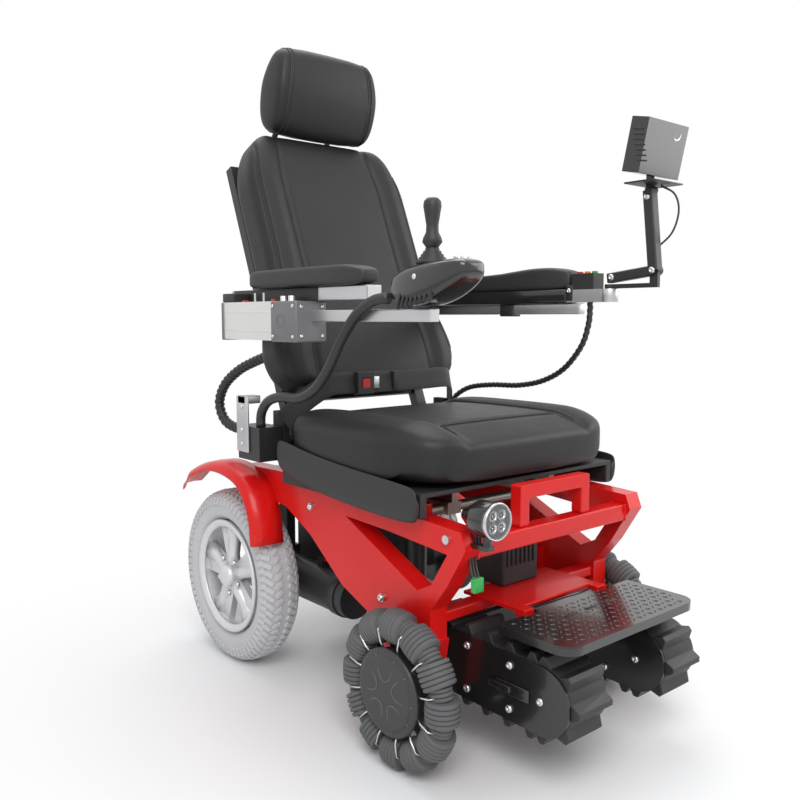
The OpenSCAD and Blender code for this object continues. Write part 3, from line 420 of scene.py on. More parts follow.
def lathe(name, profile, material, place, axis, sides, ring=False, capped=True):
    """A turned piece: profile is (radius, height) along the axis, and a ring closes on itself."""
    profile = profile + profile[:1] if ring else profile
    turn = Vector((0, 0, 1)).rotation_difference(Vector(axis)).to_matrix()
    circle = [(math.cos(math.tau * k / sides), math.sin(math.tau * k / sides)) for k in range(sides)]
    rings = [[Vector(place) + turn @ Vector((r * x, r * y, h)) for x, y in circle] for r, h in profile]
    return loft(name, rings, material, capped=capped and not ring)


def joined(name, pieces):
    """One piece out of several of the same finish."""
    work = bmesh.new()
    for piece in pieces:
        work.from_mesh(piece.data)
    mesh = bpy.data.meshes.new(name)
    work.to_mesh(mesh)
    work.free()
    for slot in pieces[0].data.materials:
        mesh.materials.append(slot)
    for piece in pieces:
        bpy.data.objects.remove(piece)
    whole = bpy.data.objects.new(name, mesh)
    bpy.context.collection.objects.link(whole)
    return whole


def copy_tree():
    """The tree that puts a copy of one unit on each point, turned as the point says."""
    tree = bpy.data.node_groups.new("copies", "GeometryNodeTree")
    face = tree.interface
    face.new_socket("Geometry", in_out="INPUT", socket_type="NodeSocketGeometry")
    names = {n: face.new_socket(n, in_out="INPUT", socket_type=t).identifier for n, t in
             (("Unit", "NodeSocketObject"), ("Finish", "NodeSocketMaterial"))}
    face.new_socket("Geometry", in_out="OUTPUT", socket_type="NodeSocketGeometry")
    start, end, unit, turn, euler, spread, real, paint = (tree.nodes.new(kind) for kind in (
        "NodeGroupInput", "NodeGroupOutput", "GeometryNodeObjectInfo", "GeometryNodeInputNamedAttribute",
        "FunctionNodeEulerToRotation", "GeometryNodeInstanceOnPoints", "GeometryNodeRealizeInstances",
        "GeometryNodeSetMaterial"))
    turn.data_type = "FLOAT_VECTOR"
    turn.inputs["Name"].default_value = "turn"
    for output, socket in (
            (start.outputs["Unit"], unit.inputs["Object"]), (start.outputs["Geometry"], spread.inputs["Points"]),
            (unit.outputs["Geometry"], spread.inputs["Instance"]), (turn.outputs["Attribute"], euler.inputs[0]),
            (euler.outputs[0], spread.inputs["Rotation"]), (spread.outputs[0], real.inputs[0]),
            (real.outputs[0], paint.inputs["Geometry"]), (start.outputs["Finish"], paint.inputs["Material"]),
            (paint.outputs[0], end.inputs[0])):
        tree.links.new(output, socket)
    return tree, names


COPY_TREE, COPY_INPUTS = copy_tree()


def copies(name, unit, places, turns, material):
    """Copies of a small mesh at places, as one plain mesh. The unit is used up."""
    cloud = new_piece(name, places, [], material)
    turned = cloud.data.attributes.new("turn", "FLOAT_VECTOR", "POINT")
    turned.data.foreach_set("vector", np.array([tuple(t) for t in turns], np.float32).ravel())
    spread = cloud.modifiers.new("copies", "NODES")
    spread.node_group = COPY_TREE
    spread[COPY_INPUTS["Unit"]] = unit
    spread[COPY_INPUTS["Finish"]] = material
    settle(cloud)
    bpy.data.objects.remove(unit)
    return cloud


def small_blocks(name, half, places, turn, material, width):
    """Equal blocks centred on places, all turned alike."""
    unit = block("unit", [-v for v in half], half, material, width)
    return copies(name, unit, places, [turn] * len(places), material)


def turn_to(normal, along=None):
    """Euler angles that take +Z to normal and, if given, +X towards along."""
    z = Vector(normal).normalized()
    x = Vector(along or ((1, 0, 0) if abs(z.x) < 0.9 else (0, 1, 0)))
    x = square_to(x, z)
    return Matrix((x, z.cross(x), z)).transposed().to_euler()


def screw_unit(radius, height):
    """A button head with a hexagon socket, standing on its own foot."""
    profile = [(radius, 0), (radius, 0.4 * height), (0.8 * radius, 0.85 * height), (0.5 * radius, height)]
    socket = [(0.45 * radius, height), (0.42 * radius, 0.4 * height), (0.0005, 0.4 * height)]
    return lathe("screw_unit", profile + socket, STEEL, (0, 0, 0), (0, 0, 1), 12)


def add_screws(name, body, radius, height, places, normals, slot="steel"):
    """Screw heads at places, each standing along its own normal."""
    turns = [turn_to(normal) for normal in normals]
    put(body, slot, copies(name, screw_unit(radius, height), places, turns, STEEL))


def curve_points(route, step):
    """A smooth line through the route's points, in even small steps."""
    p = [Vector(q) for q in route]
    p = [2 * p[0] - p[1]] + p + [2 * p[-1] - p[-2]]
    fine = []
    for i in range(1, len(p) - 2):
        pieces = max(2, int((p[i + 1] - p[i]).length / step))
        for k in range(pieces):
            t = k / pieces
            fine.append(0.5 * (2 * p[i] + (p[i + 1] - p[i - 1]) * t + (2 * p[i - 1] - 5 * p[i] + 4 * p[i + 1] -
                        p[i + 2]) * t * t + (3 * p[i] - p[i - 1] - 3 * p[i + 1] + p[i + 2]) * t ** 3))
    fine.append(p[-2])
    return fine


def line_length(points):
    return sum((b - a).length for a, b in zip(points, points[1:]))


def swept(name, line, radius, material, sides, wrap=0.0):
    """A tube along a line; wrap raises a spiral ridge, as on wrapped cable."""
    rings, side, run = [], None, 0.0
    for i, p in enumerate(line):
        ahead = heading(line, i)
        side = square_to(ahead.orthogonal() if side is None else side, ahead)
        other = ahead.cross(side)
        run += (p - line[i - 1]).length if i else 0
        ring = []
        for k in range(sides):
            a = math.tau * k / sides
            ridge = wrap * (0.5 + 0.5 * math.cos(math.tau * run / WRAP_PITCH - a)) ** 0.6
            ring.append(p + (radius - wrap + ridge) * (math.cos(a) * side + math.sin(a) * other))
        rings.append(ring)
    return loft(name, rings, material)


def make_cables():
    for name, node, route, radius, arm, wrap in (
            ("joystick_cable", "cable_joystick", JOYSTICK_ROUTE, JOYSTICK_RADIUS, "arm_right", 0.0),
            ("rear_loom", "cable_loom", LOOM_ROUTE, LOOM_RADIUS, None, LOOM_WRAP),
            ("left_lead", "cable_left", LEFT_ROUTE, LEFT_RADIUS, "arm_left", LEFT_WRAP)):
        line = curve_points(route, WRAPPED_STEP if wrap else PLAIN_STEP)
        cable = swept(name, line, radius, CABLE, 18, wrap)
        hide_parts(node)
        line_length(line)
        if arm:
            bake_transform(cable)
        else:
            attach(cable, "back")


def smoothstep(low, high, v):
    t = min(1.0, max(0.0, (v - low) / (high - low)))
    return t * t * (3 - 2 * t)


def power(v, e):
    return math.copysign(abs(v) ** e, v)


def cushion(name, half, soft, plan, shape, place, material=LEATHER, lon=192, lat=112):
    """A crowned closed cushion: shape moves each point of a soft box before place puts it in the chair."""
    points = []
    for i in range(1, lat):
        e = -math.pi / 2 + math.pi * i / lat
        for k in range(lon):
            w = math.tau * k / lon
            ce = power(math.cos(e), soft)
            unit = Vector((ce * power(math.cos(w), plan), ce * power(math.sin(w), plan), power(math.sin(e), soft)))
            points.append(place @ shape(unit, scaled(unit, half)))
    for end in (-1, 1):
        unit = Vector((0, 0, end))
        points.append(place @ shape(unit, unit * half[2]))
    n = (lat - 1) * lon
    faces = strips(lat - 1, lon)
    for k in range(lon):
        faces.append((n, (k + 1) % lon, k))
        faces.append((n + 1, n - lon + k, n - lon + (k + 1) % lon))
    return fix_normals(new_piece(name, points, faces, material))


def groove(v, at, width):
    return math.exp(-((v - at) / width) ** 2)


def on_skin(shape, half, soft, plan, place, u, v, lift):
    """A point on a cushion's upper skin at the share (u, v) of its half sizes, and the way out of it."""
    def at(a, b):
        reach = (abs(a) ** (2 / plan) + abs(b) ** (2 / plan)) ** (plan / soft)
        unit = Vector((a, b, max(0.0, 1 - reach) ** (soft / 2)))
        return place @ shape(unit, scaled(unit, half))
    here = at(u, v)
    out = (at(u + 0.02, v) - here).cross(at(u, v + 0.02) - here).normalized()
    return here + lift * out, out


def skin_lines(shape, half, roundness, place, rows):
    return [[on_skin(shape, half, *roundness, place, u, v, STITCH_LIFT) for u, v in row] for row in rows]


def on_band(shape, half, soft, plan, place, end, turn, lift):
    """A point on the band round a pillow, at the share end of its length, and the way out of it."""
    def at(z, w):
        reach = (1 - abs(z) ** (2 / soft)) ** (soft / 2)
        unit = Vector((reach * power(math.cos(w), plan), reach * power(math.sin(w), plan), z))
        return place @ shape(unit, scaled(unit, half))
    here = at(end, turn)
    out = (at(end, turn + 0.02) - here).cross(at(end + 0.01, turn) - here).normalized()
    return here + lift * out, out


def seam_stitches(name, lines, body):
    """Rows of stitches beside the seams, as short threads along the skin; a line holds points and normals."""
    places, turns = [], []
    for line in lines:
        for (p, out), (q, _) in zip(line, line[1:]):
            places.append(p)
            turns.append(turn_to(out, q - p))
    thread = lathe("thread", [(0.0002, -0.0021), (0.0006, -0.0016), (0.0006, 0.0016), (0.0002, 0.0021)], STITCH,
                   (0, 0, 0), (1, 0, 0), 6)
    put(body, "leather", copies(name, thread, places, turns, STITCH))


def seat_shape(unit, p):
    side = abs(unit.x)
    p.x *= 1 - 0.05 * smoothstep(0.3, 1.0, -unit.y) * smoothstep(0.5, 1, side)
    if unit.z > 0:
        rise = 0.013 * smoothstep(0.5, 0.8, side) - 0.01 * smoothstep(0.9, 1.05, side)
        dip = 0.006 * groove(side, 0.6, 0.035) + 0.004 * groove(unit.y, -0.62, 0.03) * (side < 0.6)
        p.z += (rise - dip) * unit.z
        p.z += (0.006 * (1 - unit.x ** 2) * (1 - unit.y ** 2) - 0.012 * smoothstep(0.55, 1.0, -unit.y)) * unit.z
    else:
        droop = 0.01 + 0.032 * smoothstep(0.62, 0.92, side)
        hang = max(droop * smoothstep(0.925, 0.99, -unit.y), 0.02 * smoothstep(0.975, 0.995, side))
        p.z -= hang * smoothstep(0.0, 0.8, -unit.z)
    return p


def back_shape(unit, p):
    """Local x across, y up the back, z out of its front."""
    side = abs(unit.x)
    p.x *= 1 - 0.09 * smoothstep(0.55, 1.0, unit.y) + 0.165 * smoothstep(-0.22, -0.8, unit.y)
    if unit.z > 0:
        rise = 0.012 * smoothstep(0.62, 0.8, side) - 0.008 * smoothstep(0.9, 1.02, side)
        dip = 0.006 * groove(side, 0.63, 0.022) + 0.005 * groove(side, 0.925, 0.014)
        p.z += (rise - dip) * unit.z + 0.008 * groove(unit.y, -0.45, 0.35) * unit.z * (1 - side)
    return p


def head_shape(unit, p):
    """Local x up, y out of the front, z across: a pillow, slimmer at its top, with domed ends sewn on."""
    end = abs(unit.z)
    p.y *= 1 - 0.22 * smoothstep(-0.1, 1.0, unit.x)
    band = 1 - 0.035 * groove(end, 0.828, 0.014) - 0.03 * smoothstep(0.3, 0.8, end)
    p.x *= band
    p.y *= band
    p.z *= 1 + 0.04 * (1 - unit.x ** 2 - unit.y ** 2) - 0.05 * smoothstep(0.0, 1.0, unit.x)
    return p


def box_of(node):
    low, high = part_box(node)
    return Vector(low), Vector(high)


def middle(node):
    low, high = box_of(node)
    return (low + high) / 2, (high - low) / 2


BACK_LEAN = math.radians(22)
HEAD_LEAN = math.radians(14)
BACK_HALF = (0.2, 0.28, 0.043)
HEAD_HALF = (0.09, 0.048, 0.125)
# Roundness of each cushion: of its section, then of its plan
SEAT_ROUND = (0.4, 0.34)
BACK_ROUND = (0.36, 0.27)
HEAD_ROUND = (0.22, 0.7)
STITCH_LIFT = 0.0006


def make_soft_goods():
    centre, half = middle("seat_cushion")
    seat_half = (half.x, half.y, 0.046)
    place = Matrix.Translation(Vector((0, centre.y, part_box("seat_cushion")[0][2] + seat_half[2])))
    seat = cushion("seat_leather", seat_half, *SEAT_ROUND, seat_shape, place)
    rows = [[(s * u, -0.8 + 0.016 * k) for k in range(102)] for s in (-1, 1) for u in (0.575, 0.625)]
    rows += [[(-0.56 + 0.0115 * k, v) for k in range(98)] for v in (-0.645, -0.6)]
    seam_stitches("seat_stitches", skin_lines(seat_shape, seat_half, SEAT_ROUND, place, rows), "seat")
    finish_soft(seat, "seat_cushion", "seat")

    back_at = Matrix.Translation(middle("back_cushion")[0]) @ Matrix.Rotation(math.pi / 2 - BACK_LEAN, 4, "X")
    back = cushion("back_leather", BACK_HALF, *BACK_ROUND, back_shape, back_at)
    rows = [[(s * u, -0.74 + 0.0145 * k) for k in range(103)] for s in (-1, 1) for u in (0.895, 0.955)]
    seam_stitches("back_stitches", skin_lines(back_shape, BACK_HALF, BACK_ROUND, back_at, rows), "back")
    finish_soft(back, "back_cushion", "back")

    lean = Matrix.Rotation(math.pi / 2 + HEAD_LEAN, 4, "X")
    swapped_axes = Matrix(((0, 0, 1), (1, 0, 0), (0, 1, 0))).to_4x4()
    head_at = Matrix.Translation(middle("headrest_pad")[0]) @ lean @ swapped_axes
    head = cushion("headrest_leather", HEAD_HALF, *HEAD_ROUND, head_shape, head_at)
    turns = [-0.9 + 0.045 * k for k in range(112)]
    lines = [[on_band(head_shape, HEAD_HALF, *HEAD_ROUND, head_at, s * z, w, STITCH_LIFT) for w in turns]
             for s in (-1, 1) for z in (0.79, 0.865)]
    seam_stitches("headrest_stitches", lines, "headrest")
    finish_soft(head, "headrest_pad", "headrest")

    for side in ("right", "left"):
        centre, half = middle("arm_%s_pad" % side)
        place = Matrix.Translation(centre)
        crest = 0.01 if side == "left" else 0.0

        def pad_shape(unit, p, crest=crest):
            p.x *= 1 - 0.16 * smoothstep(0.55, 1.0, -unit.y)
            if unit.z > 0:
                p.z += crest * smoothstep(-0.3, 0.6, -unit.y)
                p.z -= 0.004 * smoothstep(0.7, 1.0, -unit.y)
            return p
        pad = cushion("arm_%s_padding" % side, half, 0.36, 0.3, pad_shape, place, PAD, 96, 40)
        finish_soft(pad, "arm_%s_pad" % side, "arm_" + side)


SKIRT_RUN = ((-0.2625, 0.402, 0.446), (-0.25, 0.393, 0.452), (-0.2, 0.391, 0.455), (-0.1, 0.394, 0.46),
             (0.0, 0.402, 0.468), (0.07, 0.412, 0.478), (0.118, 0.424, 0.486), (0.128, 0.436, 0.48))


def make_skirts():
    """Moulded panels along the cushion's sides, over the pan's own flanges."""
    for side, name in SIDES:
        rings = []
        for y, low, high in SKIRT_RUN:
            tall = high - low
            rings.append([(side * x, y, z) for x, z in (
                (0.2436, low), (0.25, low - 0.001), (0.255, low + 0.1 * tall), (0.258, low + 0.45 * tall),
                (0.2575, low + 0.8 * tall), (0.255, high), (0.2525, high), (0.252, low + 0.7 * tall),
                (0.2436, 0.4318))])
        put("seat", "black_plastic", rounded(loft("seat_skirt_" + name, rings, BLACK_PLASTIC)))


BELT_ROUTE = [(0.219, 0.16, 0.512), (0.203, 0.143, 0.534), (0.182, 0.118, 0.562), (0.15, 0.0955, 0.583),
              (0.075, 0.095, 0.583), (0.0, 0.095, 0.583)]
BELT_WIDE = 0.042
BELT_THICK = 0.0024


def make_belt():
    """The lap belt: a thin woven strip from lug to lug, with a folded edge and a chrome tongue at its buckle."""
    line = curve_points(BELT_ROUTE + [(-x, y, z) for x, y, z in reversed(BELT_ROUTE[:-1])], PLAIN_STEP)
    rings = []
    for i, p in enumerate(line):
        ahead = heading(line, i)
        up = square_to(Vector((0, 0.25, 1)), ahead)
        out = ahead.cross(up)
        rings.append([p + BELT_WIDE / 2 * w * up + BELT_THICK / 2 * t * out for w, t in
                      ((-1, -0.5), (-0.96, -1), (-0.5, -0.9), (0.5, -0.9), (0.96, -1), (1, -0.5), (1, 0.5), (0.96, 1),
                       (0.5, 0.9), (-0.5, 0.9), (-0.96, 1), (-1, 0.5))])
    belt = loft("lap_belt", rings, WEBBING)
    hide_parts("seat_belt")
    low, high = box_of("belt_buckle")
    tongue = block("belt_tongue", (high.x - 0.002, low.y + 0.004, low.z + 0.01),
                   (high.x + 0.016, low.y + 0.008, high.z - 0.01), STEEL, 0.0012)
    guide = block("belt_guide", (high.x + 0.055, low.y + 0.006, low.z + 0.002),
                  (high.x + 0.066, high.y + 0.004, high.z - 0.002), BLACK_PLASTIC, 0.002)
    for piece, slot in ((belt, "webbing"), (tongue, "steel"), (guide, "black_plastic")):
        put("seat", slot, piece)


def finish_soft(piece, node, body):
    put(body, "pad_skin" if "arm" in node else "leather", piece)
    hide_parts(node)


SPOKES = 5
BEAD_RADIUS = 0.113
TREAD_DEPTH = 0.0032
TREAD_ROWS = (-74, -47, -16, 16, 47, 74)
TREAD_COUNT = 66
TREAD_SLANT = 0.7
SHOULDER = 60


def tyre_section(turn, radius, width):
    """A point of the tyre's section, turn in radians from the crown, as (radius, sideways)."""
    crown = radius - TREAD_DEPTH
    middle_r, half_h = (crown + BEAD_RADIUS) / 2, (crown - BEAD_RADIUS) / 2
    return middle_r + half_h * power(math.cos(turn), 0.78), width * power(math.sin(turn), 0.78)


def make_tyre(name, centre, radius, width):
    """The smooth carcass, and the slanted tread blocks that reach the tyre's full radius."""
    section = [tyre_section(math.tau * k / 40, radius, width) for k in range(40)]
    carcass = lathe("tyre_carcass_" + name, section, TYRE, centre, (1, 0, 0), 120, ring=True)
    places, turns = [], []
    side = Vector((1, 0, 0))
    for row, degrees in enumerate(TREAD_ROWS):
        t = math.radians(degrees)
        (r0, x0), (r1, x1) = tyre_section(t, radius, width), tyre_section(t + 0.02, radius, width)
        slope = Vector((x1 - x0, r1 - r0)).normalized()
        slant = (TREAD_SLANT if row % 2 else -TREAD_SLANT) * (abs(degrees) < SHOULDER)
        for k in range(TREAD_COUNT):
            a = math.tau * (k + 0.5 * (row % 2)) / TREAD_COUNT
            flat, round_way = wheel_way(a), wheel_way(a + math.pi / 2)
            places.append(centre + x0 * side + r0 * flat)
            along = slope.x * side + slope.y * flat + slant * round_way
            turns.append(turn_to(slope.x * flat - slope.y * side, along))
    knob = block("tread_unit", (-0.0088, -0.0052, -0.004), (0.0088, 0.0052, TREAD_DEPTH - 0.0004), TYRE, 0.0014)
    return carcass, copies("tyre_tread_" + name, knob, places, turns, TYRE)


def make_wheels():
    for side, name in SIDES:
        centre, half = middle("rear_tyre_" + name)
        carcass, tread = make_tyre(name, centre, half.z, half.x - 0.001)
        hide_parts("rear_tyre_" + name)
        put("rear_wheel_" + name, "tyre_grey", carcass, tread)
        axis = Vector((side, 0, 0))
        hub_at = Vector((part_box("rear_rim_" + name)[side > 0][0], centre.y, centre.z))
        lip = lathe("rim_lip_" + name, [(0.1, -0.004), (0.113, -0.004), (0.117, 0.001), (0.115, 0.005),
                                        (0.108, 0.004), (0.102, -0.001)], RIM, hub_at, axis, 72, ring=True)
        cap = lathe("rim_cap_" + name, [(0.024, -0.012), (0.024, 0.002), (0.02, 0.007), (0.009, 0.01),
                                        (0.0005, 0.01)], RIM, hub_at, axis, 40)
        spokes = make_spokes("rim_spokes_" + name, hub_at, axis)
        nuts = [hub_at - 0.006 * axis + 0.038 * wheel_way(math.pi / 2 + math.tau * (k + 0.5) / SPOKES)
                for k in range(SPOKES)]
        put("rear_wheel_" + name, "rim_silver", lip, cap, spokes)
        add_screws("rim_nuts_" + name, "rear_wheel_" + name, 0.006, 0.006, nuts, [axis] * SPOKES, "rim_silver")
        make_omni(name, axis)


def make_spokes(name, hub_at, axis):
    """Five cast spokes that swell at the rim, set on the solid's own spokes."""
    arms = []
    for k in range(SPOKES):
        out = wheel_way(math.pi / 2 + math.tau * k / SPOKES)
        over = axis.cross(out)
        rings = []
        for r, half_width, rise, depth in ((0.018, 0.017, -0.002, 0.024), (0.045, 0.0125, -0.006, 0.02),
                                           (0.075, 0.014, -0.01, 0.02), (0.105, 0.026, -0.005, 0.022)):
            rings.append([hub_at + r * out + half_width * x * over + (rise - depth * z) * axis for x, z in
                          ((-1, 0.5), (-0.75, 0.08), (0, -0.06), (0.75, 0.08), (1, 0.5), (0.8, 1), (-0.8, 1))])
        arms.append(loft("spoke", rings, RIM))
    return joined(name, arms)


ROLLERS = 12
ROLLER_IN = 0.0275
# One wire arm of the omni wheel: distance from the axle, then outwards
ROLLER_ARM = ((0.06, 0.014), (0.08, 0.022), (0.0985, 0.023), (0.104, 0.016))


def roller_unit(wheel, ring, half, ribs, shrink):
    """A barrel with flat ribs along local Y; its crown follows the wheel's own circle."""
    profile = [(0.0006, -half)]
    pitch = 2 * half / ribs
    for k in range(ribs):
        start = -half + k * pitch
        for share, deep in ((0.0, 0.0036), (0.1, 0.0036), (0.2, 0.0004), (0.34, 0.0), (0.76, 0.0), (0.9, 0.0004),
                            (1.0, 0.0036)):
            y = start + share * pitch
            profile.append((math.sqrt(wheel ** 2 - y ** 2) - ring - shrink - deep, y))
    profile.append((0.0006, half))
    return lathe("roller_unit", profile, ROLLER, (0, 0, 0), (0, 1, 0), 24)


PETALS = 5


def make_petals(name, cap_at, axis):
    """Thin raised loops on the hub cap, open towards its rim."""
    loops = []
    for k in range(PETALS):
        base = math.tau * k / PETALS + 0.3
        line = []
        for r, turn in ((0.063, -0.36), (0.048, -0.4), (0.034, -0.42), (0.024, -0.34), (0.0195, 0.0), (0.024, 0.34),
                        (0.034, 0.42), (0.048, 0.4), (0.063, 0.36)):
            line.append(cap_at + r * wheel_way(base + turn) + (0.0094 - 0.003 * (r / 0.063) ** 2) * axis)
        loops.append(swept("loop", curve_points(line, 0.004), 0.0011, HUB_LINE, 8))
    return joined("hub_loops_" + name, loops)


def make_omni(name, axis):
    body = "omni_wheel_" + name
    centre, half = middle("omni_rollers_" + name)
    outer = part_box("omni_hub_" + name)[axis.x > 0][0]
    wheel = half.z
    ring = wheel - ROLLER_IN
    parts = []
    for long_half, ribs, shrink, offset in ((0.0192, 5, 0.0, 0.0), (0.0105, 3, 0.0085, 0.5)):
        places, turns = [], []
        for k in range(ROLLERS):
            out = wheel_way(math.pi / 2 - math.tau * (k + offset) / ROLLERS)
            places.append(centre + ring * out)
            turns.append(Matrix((out, axis.cross(out), axis)).transposed().to_euler())
        parts.append(copies("part", roller_unit(wheel, ring, long_half, ribs, shrink), places, turns, ROLLER))
    arms = []
    for k in range(ROLLERS):
        out = wheel_way(math.pi / 2 - math.tau * (k + 0.44) / ROLLERS)
        arms.append(swept("arm", [centre + r * out + x * axis for r, x in ROLLER_ARM], 0.0016, STEEL, 8))
    wires = joined("roller_arms_" + name, arms)
    rollers = joined("ribbed_rollers_" + name, parts)
    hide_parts("omni_rollers_" + name)
    cap_at = Vector((outer, centre.y, centre.z)) - 0.009 * axis
    dome = lathe("hub_dome_" + name, [(0.068, -0.004), (0.0705, 0.000), (0.0705, 0.003), (0.067, 0.0055),
                                      (0.063, 0.0062), (0.048, 0.0076), (0.03, 0.0088), (0.0005, 0.0095)],
                 HUB, cap_at, axis, 72)
    put(body, "hub_grey", dome, make_petals(name, cap_at, axis))
    put(body, "roller_grey", rollers)
    put(body, "steel", wires)


FENDER_FLARE = 0.014
FENDER_INNER = 0.222
FENDER_SHARES = ((-0.92, 0.55), (-0.87, 0.88), (-0.7, 1.16), (-0.42, 1.31), (0.06, 1.35), (0.56, 1.22), (0.98, 0.97))
FENDER_EDGE = ((0, 0.0), (0.35, -0.001), (0.7, 0.0005), (0.9, 0.006), (1.0, 0.016))


def make_fenders():
    """A rolled skin from the frame's side over each wheel, turned down along its outer edge."""
    axle, half = middle("rear_tyre_left")
    line = curve_points([(0, axle.y + half.z * y, axle.z + half.z * z) for y, z in FENDER_SHARES], 0.012)
    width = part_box("fenders")[1][0] + FENDER_FLARE - FENDER_INNER
    for side, name in SIDES:
        rings = []
        for i, p in enumerate(line):
            up = square_to(p - Vector((0, axle.y, axle.z)), heading(line, i))
            taper = 1 - 0.25 * smoothstep(0.8, 1.0, i / (len(line) - 1))
            skin = [(FENDER_INNER + width * share * taper, drop) for share, drop in FENDER_EDGE]
            ring = [Vector((side * x, p.y, p.z)) - drop * up for x, drop in skin]
            ring += [Vector((side * (x - 0.001), p.y, p.z)) - (drop + 0.0035) * up for x, drop in reversed(skin)]
            rings.append(ring)
        fender = loft("fender_skin_" + name, rings, RED)
        put("chassis", "red_paint", fender)
        if side < 0:
            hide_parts("fenders")


FOOT_TOP = 0.245


def make_footplate_tread():
    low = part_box("footplate")[0]
    places, turns = [], []
    for i in range(22):
        for j in range(9):
            x, y = -0.15 + 0.0143 * i, low[1] + 0.014 + 0.0135 * j
            if abs(x) > 0.138 and y < low[1] + 0.03:
                continue
            places.append((x, y, FOOT_TOP - 0.0003))
            turns.append((0, 0, math.radians(45 if (i + j) % 2 else -45)))
    bar = lathe("tread_bar", [(0.0003, -0.0052), (0.0013, -0.003), (0.0016, 0), (0.0013, 0.003), (0.0003, 0.0052)],
                BLACK_GLOSS, (0, 0, 0), (1, 0, 0), 8)
    tread = copies("footplate_tread", bar, places, turns, BLACK_GLOSS)
    under = block("footplate_under", (-0.15, low[1] + 0.012, low[2] - 0.004), (0.15, -0.37, 0.2315), BLACK_GLOSS)
    slots = [(-0.05 + 0.05 * k, low[1] + 0.09, FOOT_TOP + 0.0002) for k in range(3)]
    slot_unit = block("slot_unit", (-0.014, -0.003, -0.0015), (0.014, 0.003, 0.0006), BLACK_PAINT, 0.0005)
    marks = copies("footplate_slots", slot_unit, slots, [(0, 0, 0)] * 3, BLACK_PAINT)
    put("footplate", "gloss_black", tread, under, marks)


def make_track_details():
    low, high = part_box("track_plates")
    front, back = low[1] + 0.053, high[1] - 0.053
    places, normals = [], []
    for x, way in ((low[0], -1), (high[0], 1), (-0.0757, 1), (0.0757, -1)):
        for y, z in ((front, 0.15), (front + 0.06, 0.186), (front + 0.06, 0.118), (front + 0.15, 0.19),
                     (front + 0.15, 0.119), (back, 0.158)):
            places.append((x, y, z))
            normals.append((way, 0, 0))
    add_screws("track_bolts", "tracks", 0.0065, 0.0045, places, normals)
    plates = []
    for x, way in ((low[0], -1), (high[0], 1)):
        for rise, start, end, half in ((0.004, 0.02, 0.085, 0.01), (0.007, 0.055, 0.098, 0.005)):
            a, b = sorted((x, x + way * rise))
            plates.append(block("slide", (a, front + start, 0.15 - half), (b, front + end, 0.15 + half),
                                BLACK_GLOSS, 0.002))
    put("tracks", "gloss_black", joined("track_tensioners", plates))


# Along the pod: the share of its length, of its width, and of its height at foot and top
POD_SHARES = ((0.0, 0.46, 0.7, 0.9), (0.05, 0.74, 0.58, 1.02), (0.2, 0.96, 0.34, 1.04), (0.45, 1.04, 0.08, 1.0),
              (0.7, 0.98, 0.0, 0.94), (0.9, 0.82, 0.16, 0.8), (1.0, 0.62, 0.2, 0.62))
KNOB_PROFILE = [(0.0065, -0.004), (0.0105, 0.004), (0.015, 0.01), (0.0135, 0.016), (0.0095, 0.024),
                (0.009, 0.034), (0.0115, 0.05), (0.0135, 0.062), (0.0125, 0.069), (0.008, 0.0735), (0.0005, 0.0745)]


def make_joystick_pod():
    low, high = box_of("joystick_pod")
    size = high - low
    x0 = (low.x + high.x) / 2
    rings = []
    for share, width, bottom, top in POD_SHARES:
        ring = []
        for k in range(24):
            a = math.tau * k / 24
            x = power(math.cos(a), 0.5) * width * size.x / 2
            z = bottom + (top - bottom) * (power(math.sin(a), 0.5) + 1) / 2
            ring.append(Vector((x0 + x, low.y + share * size.y, low.z + size.z * z)))
        rings.append(ring)
    shell = rounded(loft("joystick_shell", rings, BLACK_GLOSS))
    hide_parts("joystick_pod")
    vents = [(low.x + 0.004, low.y + 0.058 + 0.01 * k, low.z + 0.024 - 0.0016 * k) for k in range(8)]
    ribs = small_blocks("pod_ribs", (0.0035, 0.0018, 0.014), vents, (0.12, 0.25, 0), BLACK_PLASTIC, 0.0008)
    dot = lathe("pod_dot", [(0.004, -0.003), (0.004, 0.0008), (0.0032, 0.0014), (0.0005, 0.0014)], CASE_METAL,
                (low.x + 0.0005, low.y + 0.092, low.z + 0.046), (-1, 0, 0), 24)
    put("arm_right", "box_metal", dot)
    keys = [(x0 + 0.013 * (k - 1), low.y + 0.026, low.z + 0.0705) for k in range(3)]
    pads = small_blocks("pod_keys", (0.0045, 0.003, 0.002), keys, (-0.25, 0, 0), ALUMINIUM, 0.001)
    put("arm_right", "gloss_black", shell, ribs, pads)
    stick = middle("joystick_stick")[0]

    def on_stick(name, profile, material, up, sides):
        return lathe(name, profile, material, (stick.x, stick.y, high.z + up), (0, 0, 1), sides)
    boot = [(0.0245, -0.004)]
    for k in range(5):
        r = 0.0235 - 0.0032 * k
        boot += [(r, 0.0045 * k), (r - 0.0035, 0.0045 * k + 0.0022)]
    bellows = on_stick("stick_bellows", boot + [(0.006, 0.0235), (0.0045, 0.024)], BLACK_PLASTIC, 0.0015, 40)
    knob = on_stick("stick_knob", KNOB_PROFILE, BLACK_PLASTIC, 0.019, 40)
    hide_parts("joystick_stick")
    shaft = on_stick("stick_shaft", [(0.0045, 0), (0.0045, 0.03)], STEEL, 0.012, 20)
    put("joystick_stick", "stick_rubber", knob, shaft, bellows)


BAR_SECTION = ((-1, -0.8), (-0.8, -1), (0.8, -1), (1, -0.8), (1, 0.8), (0.8, 1), (-0.8, 1), (-1, 0.8))


